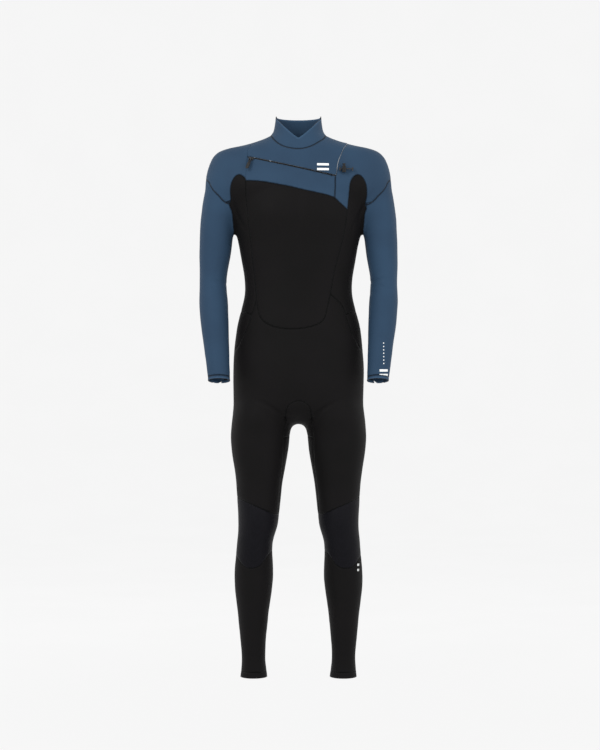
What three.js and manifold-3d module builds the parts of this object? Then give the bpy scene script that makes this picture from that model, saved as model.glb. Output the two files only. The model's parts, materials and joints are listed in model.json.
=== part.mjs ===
// Full-length chest-zip wetsuit, standing as if worn. Millimetres, +Z up, wearer's front towards -Y and
// wearer's left towards +X. The origin is on the centre plane at the base of the collar.
// The neoprene is one thin skin round a torso, two arms and two legs, cut along its sewn seams into panels.
import * as THREE from 'three';
import { mergeVertices } from 'three/addons/utils/BufferGeometryUtils.js';
import Module from 'manifold-3d';

const wasm = await Module();
wasm.setup();

// ---- Driving dimensions ----
const WALL = 3; // neoprene thickness
const SEAM_GAP = 0.3; // between two panels sewn edge to edge
const FLAP_GAP = 1.5; // beside the flap's free edge
const CLEAR = 0.3; // between fittings that touch or slide

// Levels of the body: height, then full width and depth of the section, and how far its centre lies off
// the centre plane (x) and behind it (y).
const COLLAR_TOP = { z: 56, width: 122, depth: 116, y: 4 };
const COLLAR_BASE = { z: -8, width: 142, depth: 128, y: 3 };
const NECK_ROOT = { z: -60, width: 150, depth: 132, y: 4 };
const SHOULDER_NECK = { z: -5, width: 206, depth: 136, y: 6 };
const SHOULDER_MID = { z: -20, width: 300, depth: 150, y: 6 };
const SHOULDER_SIDE = { z: -33, width: 420, depth: 164, y: 5 };
const SHOULDER_EDGE = { z: -62, width: 476, depth: 178, y: 4 };
const UPPER_CHEST = { z: -125, width: 502, depth: 206, y: 2 };
const ARMPIT = { z: -205, width: 350, depth: 170, y: 0 };
const TORSO_TOP = { z: -100, width: 330, depth: 202, y: 3 };
const CHEST = { z: -205, width: 350, depth: 228, y: 0 };
const RIBS = { z: -300, width: 316, depth: 206, y: -2 };
const WAIST = { z: -400, width: 286, depth: 190, y: -2 };
const HIGH_HIP = { z: -520, width: 334, depth: 208, y: 4 };
const HIP = { z: -640, width: 352, depth: 232, y: 10 };
const SEAT = { z: -715, width: 350, depth: 218, y: 12 };
const CROTCH = { z: -764, width: 120, depth: 110, y: 10 };
const ARM_ROOT = { z: -62, width: 72, depth: 86, x: 198, y: 5 };
const UPPER_ARM = { z: -200, width: 92, depth: 104, x: 215, y: 7 };
const BICEPS = { z: -300, width: 86, depth: 94, x: 223, y: 7 };
const ELBOW = { z: -390, width: 72, depth: 84, x: 229, y: 4 };
const FOREARM = { z: -450, width: 77, depth: 84, x: 227, y: -8 };
const WRIST = { z: -650, width: 60, depth: 54, x: 210, y: -60 };
const LEG_ROOT = { z: -640, width: 110, depth: 120, x: 88, y: 12 };
const GROIN = { z: -738, width: 160, depth: 192, x: 98, y: 10 };
const THIGH = { z: -790, width: 160, depth: 172, x: 102, y: 8 };
const LOW_THIGH = { z: -925, width: 124, depth: 144, x: 105, y: 2 };
const KNEE = { z: -1032, width: 106, depth: 120, x: 108, y: -5 };
const UNDER_KNEE = { z: -1088, width: 96, depth: 116, x: 117, y: -2 };
const CALF = { z: -1172, width: 104, depth: 118, x: 120, y: 12 };
const SHIN = { z: -1290, width: 80, depth: 96, x: 122, y: 12 };
const ANKLE = { z: -1396, width: 64, depth: 78, x: 121, y: 8 };
const HEM = { z: -1444, width: 72, depth: 84, x: 120, y: 8 };

const ANKLE_HEM_HEIGHT = 16;
const WRIST_HEM_HEIGHT = 9;
const WRIST_TILT = 0.27; // rise of the wrist opening per millimetre towards the front
const COLLAR_NOTCH = 63; // how far the collar's top edge dips at the throat

const ZIP_GAP = 4; // between the flap's lower edge and the band
const TOOTH_PITCH = 14;
const TOOTH_WIDTH = 6; // along the zip
const TOOTH_DEPTH = 1.9; // through the zip
const TAPE_WIDTH = 12;
const TAPE_THICKNESS = 0.9;
const SLIDER_LENGTH = 13;
const SLIDER_WIDTH = 6.5;
const SLIDER_LIFT = 2; // of the slider's plate off the zip's arc
const PLATE_THICKNESS = 1.5;
const LINK_BAR = 1.5;
const LINK_WIDTH = 9;
const LINK_LENGTH = 10;
const TAB_WIDTH = 9;
const TAB_LENGTH = 22;
const PULL_TILT = 0.5; // how far the hanging pull leans off the zip's plane, radians

const BARRIER_WALL = 2;
const BARRIER_TOP = { z: -13, width: 108, depth: 98, y: 4 };
const BARRIER_THROAT = { z: -26, width: 116, depth: 104, y: 4 };
const BARRIER_SKIRT = { z: -42, width: 150, depth: 124, y: 4 };

const CORD_DIAMETER = 2.5;
const CORD_Z = -92;
const CORD_START_X = 111;
const CORD_LENGTH = 30;
const ANCHOR_WIDTH = 3;
const ANCHOR_HEIGHT = 8;
const LOCK_X = 120;
const LOCK_STANDOFF = 4.5; // from the skin to the back of the lock
const LOCK_WIDTH = 10;
const LOCK_HEIGHT = 17;
const LOCK_DEPTH = 9;
const LOCK_FLOOR = 1.5; // under the spring
const PLUNGER_DIAMETER = 5.6;
const PLUNGER_FOOT = 1.5; // of the plunger, under the cord
const BUTTON_DIAMETER = 8.4;
const BUTTON_HEIGHT = 3.2;
const PRESS_TRAVEL = 2.5; // of the lock's button
const SPRING_WIRE = 0.5;

// ---- Solids ----

// A closed geometry as a solid. Only positions are kept, so that shared vertices merge.
function solid(geometry) {
  const bare = geometry.clone();
  bare.deleteAttribute('normal');
  bare.deleteAttribute('uv');
  const merged = mergeVertices(bare, 1e-4);
  const vertProperties = new Float32Array(merged.attributes.position.array);
  const triVerts = new Uint32Array(merged.index.array);
  return new wasm.Manifold(new wasm.Mesh({ numProp: 3, vertProperties, triVerts }));
}

function geometryOf(body) {
  const mesh = body.getMesh();
  const geometry = new THREE.BufferGeometry();
  geometry.setAttribute('position', new THREE.BufferAttribute(new Float32Array(mesh.vertProperties), 3));
  geometry.setIndex(new THREE.BufferAttribute(new Uint32Array(mesh.triVerts), 1));
  const flat = geometry.toNonIndexed();
  flat.computeVertexNormals();
  return flat;
}

const joined = (bodies) => wasm.Manifold.union(bodies);

function box(low, high) {
  const size = high.map((value, axis) => value - low[axis]);
  const geometry = new THREE.BoxGeometry(...size);
  geometry.translate(...low.map((value, axis) => value + size[axis] / 2));
  return solid(geometry);
}

// A cylinder between two points.
function rod(from, to, radius, sides = 16) {
  const start = new THREE.Vector3(...from);
  const along = new THREE.Vector3(...to).sub(start);
  const geometry = new THREE.CylinderGeometry(radius, radius, along.length(), sides);
  geometry.translate(0, along.length() / 2, 0);
  geometry.applyQuaternion(new THREE.Quaternion().setFromUnitVectors(
    new THREE.Vector3(0, 1, 0), along.clone().normalize()));
  geometry.translate(...from);
  return solid(geometry);
}

// ---- The body's columns: stacked elliptical sections that change smoothly with height ----

// The section of a column at a height, by a smooth curve through its levels.
function sectionAt(levels, z) {
  const last = levels.length - 1;
  const height = Math.min(levels[0].z, Math.max(levels[last].z, z));
  let low = 1;
  while (low < last && levels[low].z > height) low += 1;
  const above = levels[low - 1];
  const below = levels[low];
  const share = (height - above.z) / (below.z - above.z);
  const before = levels[Math.max(0, low - 2)];
  const after = levels[Math.min(last, low + 1)];
  const value = (key) => {
    const pick = (level) => level[key] ?? 0;
    const span = below.z - above.z;
    const slope = (a, b) => (b === a ? 0 : (pick(b) - pick(a)) / (b.z - a.z));
    const middle = slope(above, below);
    const limit = (other) => (other * middle <= 0 ? 0 : Math.sign(middle)
      * Math.min(Math.abs(other + middle) / 2, 2 * Math.abs(other), 2 * Math.abs(middle)));
    const startSlope = (before === above ? middle : limit(slope(before, above))) * span;
    const endSlope = (after === below ? middle : limit(slope(below, after))) * span;
    const s2 = share * share;
    const s3 = s2 * share;
    return (2 * s3 - 3 * s2 + 1) * pick(above) + (s3 - 2 * s2 + share) * startSlope
      + (3 * s2 - 2 * s3) * pick(below) + (s3 - s2) * endSlope;
  };
  return { x: value('x'), y: value('y'), halfWidth: value('width') / 2, halfDepth: value('depth') / 2 };
}

// A closed column through its levels. inset thins it for the hollow inside, shorten moves its closed ends
// inwards, extend lengthens its open ends, and tilt shears it towards its last section for a slanting cuff.
function column(levels, {
  sides, step, mirror = 1, inset = 0, tilt = 0,
  shortenTop = 0, shortenBottom = 0, extendTop = 0, extendBottom = 0,
}) {
  const heights = [levels[0].z];
  for (let i = 1; i < levels.length; i += 1) {
    const count = Math.max(1, Math.round((levels[i - 1].z - levels[i].z) / step));
    for (let k = 1; k <= count; k += 1) {
      heights.push(levels[i - 1].z + ((levels[i].z - levels[i - 1].z) * k) / count);
    }
  }
  const last = heights.length - 1;
  const geometry = new THREE.CylinderGeometry(1, 1, 1, sides, last);
  const position = geometry.attributes.position;
  for (let i = 0; i < position.count; i += 1) {
    const ring = Math.round((0.5 - position.getY(i)) * last);
    const section = sectionAt(levels, heights[ring]);
    const across = position.getX(i) * (section.halfWidth - inset);
    const through = -position.getZ(i) * (section.halfDepth - inset);
    const share = (heights[0] - heights[ring]) / (heights[0] - heights[last]);
    const lift = (ring === 0 ? extendTop : 0) - (ring === last ? extendBottom : 0)
      - shortenTop * (1 - share) + shortenBottom * share - tilt * share * share * through;
    position.setXYZ(i, mirror * section.x + across, section.y + through, heights[ring] + lift);
  }
  return solid(geometry);
}

const NECK_LEVELS = [COLLAR_TOP, COLLAR_BASE, NECK_ROOT];
const YOKE_LEVELS = [
  { ...COLLAR_BASE, z: COLLAR_BASE.z + 16, width: COLLAR_BASE.width - 2 * WALL - 2 },
  SHOULDER_NECK, SHOULDER_MID, SHOULDER_SIDE, SHOULDER_EDGE, UPPER_CHEST, ARMPIT,
];
const TORSO_LEVELS = [TORSO_TOP, CHEST, RIBS, WAIST, HIGH_HIP, HIP, SEAT, CROTCH];
const ARM_LEVELS = [ARM_ROOT, UPPER_ARM, BICEPS, ELBOW, FOREARM, WRIST];
const LEG_LEVELS = [LEG_ROOT, GROIN, THIGH, LOW_THIGH, KNEE, UNDER_KNEE, CALF, SHIN, ANKLE, HEM];

function bodyOf(inset) {
  const inside = inset > 0;
  const open = inside ? 12 : 0;
  const closed = { inset, shortenTop: inset, shortenBottom: inset };
  const columns = [
    column(NECK_LEVELS, { sides: 20, step: 70, inset, extendTop: open, extendBottom: open }),
    column(YOKE_LEVELS, { sides: 20, step: 90, ...closed }),
    column(TORSO_LEVELS, { sides: 20, step: 100, ...closed }),
  ];
  for (const mirror of [-1, 1]) {
    columns.push(column(ARM_LEVELS, {
      sides: 12, step: 110, mirror, inset, shortenTop: inset, extendBottom: open, tilt: WRIST_TILT,
    }));
    columns.push(column(LEG_LEVELS, {
      sides: 12, step: 110, mirror, inset, shortenTop: inset, extendBottom: open,
    }));
  }
  return joined(columns);
}

// Where the outer surface of the trunk lies, in front (side -1) or behind (side 1).
function skinY(x, z, side) {
  const found = [YOKE_LEVELS, TORSO_LEVELS, NECK_LEVELS].flatMap((levels) => {
    if (z > levels[0].z || z < levels[levels.length - 1].z) return [];
    const section = sectionAt(levels, z);
    const reach = 1 - (x / section.halfWidth) ** 2;
    return reach > 0 ? [section.y + side * section.halfDepth * Math.sqrt(reach)] : [];
  });
  return side * Math.max(...found.map((y) => side * y));
}

// ---- Seam cutters: thin upright sheets along a line drawn on the front, the back, the side or from above ----

const FAR = 400; // beyond the whole suit

// The plane where a line drawn on the front (x, z) gives way to one drawn on the back.
const PANEL_SPLIT_Y = 5;
const VIEW_START = { front: PANEL_SPLIT_Y + SEAM_GAP, back: PANEL_SPLIT_Y + FAR, through: FAR / 2 };

function sheetOutline(points, gap, smooth) {
  const flat = points.map(([a, b]) => new THREE.Vector2(a, b));
  const line = smooth ? new THREE.SplineCurve(flat).getPoints((flat.length - 1) * 2) : flat;
  const offset = (sign) => line.map((point, i) => {
    const along = line[Math.min(line.length - 1, i + 1)].clone().sub(line[Math.max(0, i - 1)]).normalize();
    return new THREE.Vector2(point.x - (sign * along.y * gap) / 2, point.y + (sign * along.x * gap) / 2);
  });
  return new THREE.Shape([...offset(-1), ...offset(1).reverse()]);
}

function seam(view, points, { gap = SEAM_GAP, smooth = true } = {}) {
  const outline = sheetOutline(points, gap, smooth);
  const geometry = new THREE.ExtrudeGeometry(outline, { depth: FAR, bevelEnabled: false });
  geometry.rotateX(Math.PI / 2);
  geometry.translate(0, VIEW_START[view], 0);
  return solid(geometry);
}

// A seam drawn from above, between two heights.
function seamFromAbove(points, low, high, gap = SEAM_GAP) {
  const outline = sheetOutline(points, gap, true);
  const geometry = new THREE.ExtrudeGeometry(outline, { depth: high - low, bevelEnabled: false });
  geometry.translate(0, 0, low);
  return solid(geometry);
}

// Points on a column's front: share of the half width from its centre line, and height.
const onTorso = (share, z) => [share * sectionAt(TORSO_LEVELS, z).halfWidth, z];
const onArm = (side, share, z) => {
  const section = sectionAt(ARM_LEVELS, z);
  return [side * (section.x + share * section.halfWidth), z];
};
const onLeg = (side, share, z) => {
  const section = sectionAt(LEG_LEVELS, z);
  return [side * (section.x + share * section.halfWidth), z];
};

// ---- The zip: an arc across the chest, from the wearer's right down to the left ----

const ZIP_RIGHT = [-134, -58];
const ZIP_LEFT = [97, -110];
const ZIP_MIDDLE = [(ZIP_RIGHT[0] + ZIP_LEFT[0]) / 2, (ZIP_RIGHT[1] + ZIP_LEFT[1]) / 2];
const onSkin = ([x, z]) => new THREE.Vector3(x, skinY(x, z, -1), z);

// The circle through three points: its centre, radius, and a frame whose X points from the centre to the
// first point and whose Z is the circle's axis, upwards.
function circleThrough(first, second, third) {
  const a = first.clone().sub(third);
  const b = second.clone().sub(third);
  const normal = a.clone().cross(b);
  const toCentre = b.clone().multiplyScalar(a.lengthSq()).sub(a.clone().multiplyScalar(b.lengthSq()))
    .cross(normal).divideScalar(-2 * normal.lengthSq());
  const centre = third.clone().sub(toCentre);
  const up = normal.clone().normalize().multiplyScalar(Math.sign(normal.z));
  const out = first.clone().sub(centre);
  const radius = out.length();
  out.normalize();
  const frame = new THREE.Matrix4().makeBasis(out, up.clone().cross(out), up);
  frame.setPosition(centre);
  return { centre, radius, up, frame };
}

const ZIP = circleThrough(onSkin(ZIP_RIGHT), onSkin(ZIP_MIDDLE), onSkin(ZIP_LEFT));
const ZIP_ANGLE = 2 * Math.asin(onSkin(ZIP_RIGHT).distanceTo(onSkin(ZIP_LEFT)) / (2 * ZIP.radius));
const zipAngle = (length) => length / ZIP.radius;

// A piece of flat ring round the zip's axis: radii inside and outside, angles, and heights along the axis.
// Radii are given from the body's surface, outwards.
function zipSector(inner, outer, start, end, low, high, segments = 10) {
  const shape = new THREE.Shape();
  shape.absarc(0, 0, ZIP.radius + outer, start, end, false);
  shape.absarc(0, 0, ZIP.radius + inner, end, start, true);
  const geometry = new THREE.ExtrudeGeometry(shape, {
    depth: high - low, bevelEnabled: false, curveSegments: segments,
  });
  geometry.translate(0, 0, low);
  geometry.applyMatrix4(ZIP.frame);
  return solid(geometry);
}

const TAPE_TOP = -WALL - CLEAR; // the tape lies just behind the neoprene
const TAPE_BOTTOM = TAPE_TOP - TAPE_THICKNESS;
const TEETH_TOP = -(WALL - TOOTH_DEPTH) / 2;
const TEETH_BOTTOM = TEETH_TOP - TOOTH_DEPTH;
const BEAD = 0.8; // the strip that the teeth stand on
const PIN_LENGTH = 9;
const STOP_LENGTH = 4;

function zipTape(up) {
  const near = CLEAR / 2;
  const far = TAPE_WIDTH;
  return zipSector(TAPE_BOTTOM, TAPE_TOP, 0, ZIP_ANGLE, up ? near : -far, up ? far : -near);
}

function zipTeeth(up) {
  const half = ZIP_GAP / 2 - CLEAR / 2;
  const start = zipAngle(STOP_LENGTH + CLEAR);
  const end = ZIP_ANGLE - zipAngle(PIN_LENGTH + CLEAR);
  const strip = up ? [half - BEAD, half] : [-half, -half + BEAD];
  const parts = [zipSector(TEETH_BOTTOM, TEETH_TOP, start, end, ...strip)];
  const count = Math.floor((end - start) / zipAngle(TOOTH_PITCH));
  for (let i = 0; i < count; i += 1) {
    const from = start + zipAngle(TOOTH_PITCH) * (i + (up ? 0.5 : 0)) + zipAngle(0.2);
    const to = Math.min(from + zipAngle(TOOTH_WIDTH), end);
    if (to - from > zipAngle(1)) {
      const reach = up ? [CLEAR / 2, half - BEAD + 0.1] : [-half + BEAD - 0.1, -CLEAR / 2];
      parts.push(zipSector(TEETH_BOTTOM, TEETH_TOP, from, to, ...reach, 1));
    }
  }
  return joined(parts);
}

// ---- The suit's skin, cut at its seams ----

const HINGE_FRONT = [-137, onSkin(ZIP_RIGHT).y];
const HINGE_BACK = [-57, 80];
const hingeAt = (y) => HINGE_FRONT[0]
  + ((HINGE_BACK[0] - HINGE_FRONT[0]) * (y - HINGE_FRONT[1])) / (HINGE_BACK[1] - HINGE_FRONT[1]);
const EDGE_RIDGE_X = 130; // where the flap's free edge crosses the top of the left shoulder
const BACK_SPLIT_Y = 22; // shoulders meet the upper back in this plane
const SHOULDER_FOOT = -128; // below the armhole's outer end
const HIP_SEAM_Z = -560; // where the side seam of the legs begins
const INNER_SEAM_Z = -980; // where the inner leg panel ends and the inside seam begins
const SEAT_FOLD = { inner: -808, middle: -824, outer: -812 };

function seamsOfSuit() {
  const list = [
    // flap: hinge line, back edge behind the neck, free edge, and the zip's slot
    seamFromAbove([[hingeAt(-300), -300], HINGE_BACK], ZIP_RIGHT[1] - ZIP_GAP, FAR / 4),
    seamFromAbove([[-59, 76], [-56, 80], [-30, 84], [0, 85], [40, 83], [80, 74], [112, 50],
      [EDGE_RIDGE_X - 2, 22], [EDGE_RIDGE_X, 3], [EDGE_RIDGE_X, -4]], -90, FAR / 4, FLAP_GAP),
    seam('front', [[EDGE_RIDGE_X, 30], [EDGE_RIDGE_X, -18], [121, -32], [114, -49], [106, -68], [102, -88],
      [ZIP_LEFT[0] + 2, ZIP_LEFT[1]]], { gap: FLAP_GAP }),
    zipSector(-4 * WALL, 4 * WALL, -zipAngle(6), ZIP_ANGLE + zipAngle(3), -ZIP_GAP / 2, ZIP_GAP / 2),
    // collar base, dipping at the throat
    seam('front', [[-96, 22], [-76, 8], [-66, -9], [-58, -18], [-46, -27], [-32, -33], [-14, -37], [4, -38],
      [20, -35], [36, -29], [50, -20], [66, -9], [76, 8], [96, 22]], { smooth: false }),
    seam('back', [[-96, 22], [-76, 8], [-66, -9], [-40, -4], [0, -1], [40, -4], [66, -9], [76, 8], [96, 22]],
      { smooth: false }),
    // zip band
    seam('front', [[ZIP_RIGHT[0] - 1, ZIP_RIGHT[1] - 1], [-137, -92], [-140, -126]]),
    seam('front', [[ZIP_LEFT[0], ZIP_LEFT[1] - 1], [96, -140], [93, -175]]),
    seam('front', [[-142, -122], [-101, -125], [-58, -133], [-14, -142], [29, -153], [68, -162], [91, -170],
      [105, -181], [128, -200]]),
    // split between shoulders and upper back
    box([-FAR, BACK_SPLIT_Y, SHOULDER_FOOT], [hingeAt(BACK_SPLIT_Y) + 1, BACK_SPLIT_Y + SEAM_GAP, FAR / 4]),
    box([EDGE_RIDGE_X - 3, BACK_SPLIT_Y, SHOULDER_FOOT], [FAR, BACK_SPLIT_Y + SEAM_GAP, FAR / 4]),
    // lower edge of the upper back
    seam('back', [[-141, -152], [-80, -158], [0, -165], [80, -158], [141, -152]]),
    // waist at the back
    seam('back', [onTorso(-1.2, -462), onTorso(-0.95, -466), onTorso(-0.5, -455), onTorso(0, -446),
      onTorso(0.5, -455), onTorso(0.95, -466), onTorso(1.2, -462)], { smooth: false }),
  ];
  // chest panel, running down both flanks and round under the ribs
  list.push(seam('front', [[-140, -120], onTorso(-0.76, -244), onTorso(-0.8, -324), onTorso(-0.8, -404),
    onTorso(-0.74, -445), onTorso(-0.66, -478), onTorso(-0.5, -501), onTorso(-0.3, -511), onTorso(-0.1, -514),
    onTorso(0.14, -510), onTorso(0.33, -500), onTorso(0.43, -486), onTorso(0.5, -457), onTorso(0.57, -428),
    onTorso(0.66, -349), onTorso(0.71, -284), [127, -198], [132, -158], [137, -119]]));
  for (const side of [-1, 1]) {
    list.push(
      // armhole: over the outside of the shoulder and in under the arm
      seam('through', [onArm(side, 1.5, -96), onArm(side, 0.85, -118), onArm(side, 0.55, -136),
        onArm(side, 0.05, -157), onArm(side, -0.4, -172), onArm(side, -0.78, -184), onArm(side, -0.95, -215),
        onArm(side, -1.02, -300)]),
      // top of the black tongue under the arm
      seam('through', [onArm(side, -0.55, -192), onArm(side, -0.78, -184), [side * 179, -152],
        [side * 177, -127], [side * 165, -108], [side * 151, -106], [side * 139, -121], [side * 135, -134]]),
      // flank seam at the back
      seam('back', [[side * 140, -114], onTorso(side * 0.78, -244), onTorso(side * 0.8, -324),
        onTorso(side * 0.78, -404), onTorso(side * 0.74, -470)]),
      // waist seam in front, dipping to a point
      seam('front', [onTorso(side * (side < 0 ? 0.77 : 0.55), -418), onTorso(side * 0.77, -450),
        onTorso(side * 0.81, -480)]),
      seam('front', [onTorso(side * 0.77, -477), onTorso(side * 0.95, -466), onTorso(side * 1.2, -462)],
        { smooth: false }),
      // hip seam, running round to the side
      seam('front', [onTorso(side * 0.79, -466), onTorso(side * 0.81, -500), onTorso(side * 0.87, -535),
        onTorso(side * 0.97, -572), onTorso(side * 1.15, -600)]),
      // fold under the seat, where the backs of the legs begin
      seam('back', [onLeg(side, -0.8, SEAT_FOLD.inner), onLeg(side, 0, SEAT_FOLD.middle),
        onLeg(side, 1.3, SEAT_FOLD.outer)]),
      // foot of the crotch gusset
      seam('through', [[side * 6, -792], [side * 30, -800], onLeg(side, -0.72, -802)]),
      // knee pad
      seam('front', [onLeg(side, 1.3, KNEE.z + 78), onLeg(side, 0.9, KNEE.z + 69), onLeg(side, 0.1, KNEE.z + 50),
        onLeg(side, -0.75, KNEE.z + 28), onLeg(side, -1.3, KNEE.z + 22)]),
      seam('front', [onLeg(side, 1.3, KNEE.z - 70), onLeg(side, 0.85, KNEE.z - 92), onLeg(side, 0.5, KNEE.z - 112),
        onLeg(side, 0.1, KNEE.z - 118), onLeg(side, -0.4, KNEE.z - 108), onLeg(side, -0.75, KNEE.z - 80),
        onLeg(side, -1.3, KNEE.z - 66)]),
      // ankle and wrist hems
      box([side > 0 ? 10 : -FAR, -FAR, HEM.z + ANKLE_HEM_HEIGHT], [side > 0 ? FAR : -10, FAR,
        HEM.z + ANKLE_HEM_HEIGHT + SEAM_GAP]),
      wristCut(side),
      // front and back of the leg
      box([side > 0 ? 100 : -FAR, PANEL_SPLIT_Y, HEM.z + ANKLE_HEM_HEIGHT], [side > 0 ? FAR : -100,
        PANEL_SPLIT_Y + SEAM_GAP, HIP_SEAM_Z]),
      box([side > 0 ? 0 : -105, PANEL_SPLIT_Y, HEM.z + ANKLE_HEM_HEIGHT], [side > 0 ? 105 : 0,
        PANEL_SPLIT_Y + SEAM_GAP, INNER_SEAM_Z]),
    );
  }
  // crotch gusset and inner legs, in one line from knee to knee
  const innerLeg = (side) => [onLeg(side, -1.3, -1012), onLeg(side, -0.93, -1005),
    onLeg(side, -0.9, -930), onLeg(side, -0.86, -860), onLeg(side, -0.76, -800),
    [side * 36, -755], [side * 35, -735], [side * 26, -714]];
  list.push(seam('through', [...innerLeg(-1), [0, -701], ...innerLeg(1).reverse()]));
  return list;
}

// The wrist hem's upper edge, level with the slanting cuff.
function wristCut(side) {
  const geometry = new THREE.BoxGeometry(120, 200, SEAM_GAP);
  const position = geometry.attributes.position;
  for (let i = 0; i < position.count; i += 1) {
    const slope = WRIST_TILT * ((WRIST.z - ARM_ROOT.z) / (WRIST.z - ARM_ROOT.z)) ** 2;
    position.setZ(i, position.getZ(i) - slope * position.getY(i));
  }
  geometry.translate(side * WRIST.x, WRIST.y, WRIST.z + WRIST_HEM_HEIGHT);
  return solid(geometry);
}

// A sheet that trims the collar's top edge to a dip at the throat.
function collarTrim() {
  const side = COLLAR_TOP.width / 2;
  const half = [[COLLAR_NOTCH * 0.22, COLLAR_TOP.z - COLLAR_NOTCH * 0.84], [COLLAR_NOTCH * 0.6, COLLAR_TOP.z
    - COLLAR_NOTCH * 0.49], [side, COLLAR_TOP.z - COLLAR_NOTCH * 0.1], [1.5 * side, COLLAR_TOP.z + WALL]];
  const top = [1.5 * side, FAR / 4];
  const flip = ([x, z]) => [-x, z];
  const shape = new THREE.Shape([flip(top), ...half.map(flip).reverse(), [0, COLLAR_TOP.z - COLLAR_NOTCH],
    ...half, top].map(([x, z]) => new THREE.Vector2(x, z)));
  const geometry = new THREE.ExtrudeGeometry(shape, { depth: FAR, bevelEnabled: false });
  geometry.rotateX(Math.PI / 2);
  return solid(geometry);
}

// ---- Panels, each found by a line that crosses only it ----

const front = (x, z) => ({ from: [x, -FAR, z], to: [x, 0, z] });
const behind = (x, z) => ({ from: [x, PANEL_SPLIT_Y + 25, z], to: [x, FAR, z] });

const BLUE = { color: 0x34506b, roughness: 0.85 };
const BLACK = { color: 0x1c1a1b, roughness: 0.9 };
const NAVY = { color: 0x12111a, roughness: 0.8 };

const PANELS = [
  { name: 'collar', at: front(50, 20), look: BLUE },
  { name: 'flap_panel', at: front(0, -65), look: BLUE },
  { name: 'zip_band', at: front(-60, -105), look: BLUE },
  { name: 'shoulder_right', at: front(-165, -70), look: BLUE },
  { name: 'shoulder_left', at: front(165, -70), look: BLUE },
  { name: 'upper_back', at: behind(60, -100), look: BLUE },
  { name: 'chest_panel', at: front(0, -300), look: BLACK },
  { name: 'lower_back', at: behind(0, -300), look: BLACK },
  { name: 'hip_front', at: front(0, -600), look: BLACK },
  { name: 'seat_panel', at: behind(0, -600), look: BLACK },
  { name: 'crotch_gusset', at: front(0, -730), look: BLACK },
];
for (const [side, hand] of [[-1, 'right'], [1, 'left']]) {
  const elbow = onArm(side, 0.2, ELBOW.z);
  const knee = onLeg(side, 0.2, KNEE.z);
  const shin = onLeg(side, 0.1, SHIN.z);
  const inner = [side * 25, PANEL_SPLIT_Y, -900];
  PANELS.push(
    { name: `side_panel_${hand}`, at: front(...onTorso(side * 0.9, RIBS.z)), look: BLACK },
    { name: `sleeve_${hand}`, at: front(...elbow), look: BLUE },
    { name: `wrist_hem_${hand}`, at: front(side * WRIST.x, WRIST.z + WRIST_HEM_HEIGHT / 2 + 4), look: BLUE },
    { name: `inner_leg_${hand}`, at: { from: inner, to: [side * 80, inner[1], inner[2]] }, look: BLACK },
    { name: `leg_back_${hand}`, at: behind(...onLeg(side, 0.1, LOW_THIGH.z)), look: BLACK },
    { name: `knee_pad_${hand}`, at: front(...knee), look: NAVY },
    { name: `shin_panel_${hand}`, at: front(...shin), look: BLACK },
    { name: `ankle_hem_${hand}`, at: front(side * HEM.x, HEM.z + ANKLE_HEM_HEIGHT / 2), look: BLACK },
  );
}

function cutPanels() {
  const skin = bodyOf(0).subtract(bodyOf(WALL)).subtract(collarTrim());
  const zipRoom = [
    zipSector(TAPE_BOTTOM - CLEAR, TAPE_TOP + CLEAR, -zipAngle(CLEAR), ZIP_ANGLE + zipAngle(CLEAR),
      -TAPE_WIDTH - CLEAR, TAPE_WIDTH + CLEAR),
    zipSector(SLIDER_LIFT - CLEAR, SLIDER_LIFT + PLATE_THICKNESS + CLEAR, 0, ZIP_ANGLE,
      -SLIDER_WIDTH - CLEAR, SLIDER_WIDTH),
  ];
  return skin.subtract(joined([...seamsOfSuit(), ...zipRoom])).decompose();
}

// The piece that a thin bar between two points cuts most of.
function pieceAt(pieces, { from, to }) {
  const low = from.map((value, axis) => Math.min(value, to[axis]) - 2);
  const high = from.map((value, axis) => Math.max(value, to[axis]) + 2);
  const bar = box(low, high);
  const shares = pieces.map((piece) => piece.intersect(bar).volume());
  return pieces[shares.indexOf(Math.max(...shares))];
}

// The inner neck seal, a short open cuff that widens under the shoulders.
function neckBarrier() {
  const levels = [BARRIER_TOP, BARRIER_THROAT, BARRIER_SKIRT];
  const size = { sides: 20, step: 40 };
  const hollow = column(levels, { ...size, inset: BARRIER_WALL, extendTop: WALL, extendBottom: WALL });
  return column(levels, size).subtract(hollow);
}

// ---- Zip fittings. The slider's own axes: x out from the chest, y along the zip, z up ----

const SLIDER_START = zipAngle(STOP_LENGTH + CLEAR);
const SLIDER_MIDDLE = SLIDER_START + zipAngle(SLIDER_LENGTH / 2);
const SLIDER_FRAME = ZIP.frame.clone()
  .multiply(new THREE.Matrix4().makeRotationZ(SLIDER_MIDDLE))
  .multiply(new THREE.Matrix4().makeTranslation(ZIP.radius, 0, 0));
const PLATE_TOP = SLIDER_LIFT + PLATE_THICKNESS;
const PIVOT = [PLATE_TOP + 1.1, 0, -3];
const BRIDGE_SPAN = 5.2;
const BRIDGE_WIDTH = 3;
const BRIDGE_WALL = 1;

const placed = (body, matrix) => body.transform(matrix.elements);

function zipSlider() {
  const plate = zipSector(SLIDER_LIFT, PLATE_TOP, SLIDER_START, SLIDER_START + zipAngle(SLIDER_LENGTH),
    -SLIDER_WIDTH, -CLEAR, 3);
  const low = PIVOT[2] - BRIDGE_SPAN / 2;
  const high = PIVOT[2] + BRIDGE_SPAN / 2;
  const half = BRIDGE_WIDTH / 2;
  const roof = PIVOT[0] + LINK_BAR / 2 + CLEAR;
  const bridge = joined([
    box([PLATE_TOP - 0.4, -half, low], [roof + BRIDGE_WALL, half, low + BRIDGE_WALL]),
    box([PLATE_TOP - 0.4, -half, high - BRIDGE_WALL], [roof + BRIDGE_WALL, half, high]),
    box([roof, -half, low], [roof + BRIDGE_WALL, half, high]),
  ]);
  return plate.add(placed(bridge, SLIDER_FRAME));
}

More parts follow.
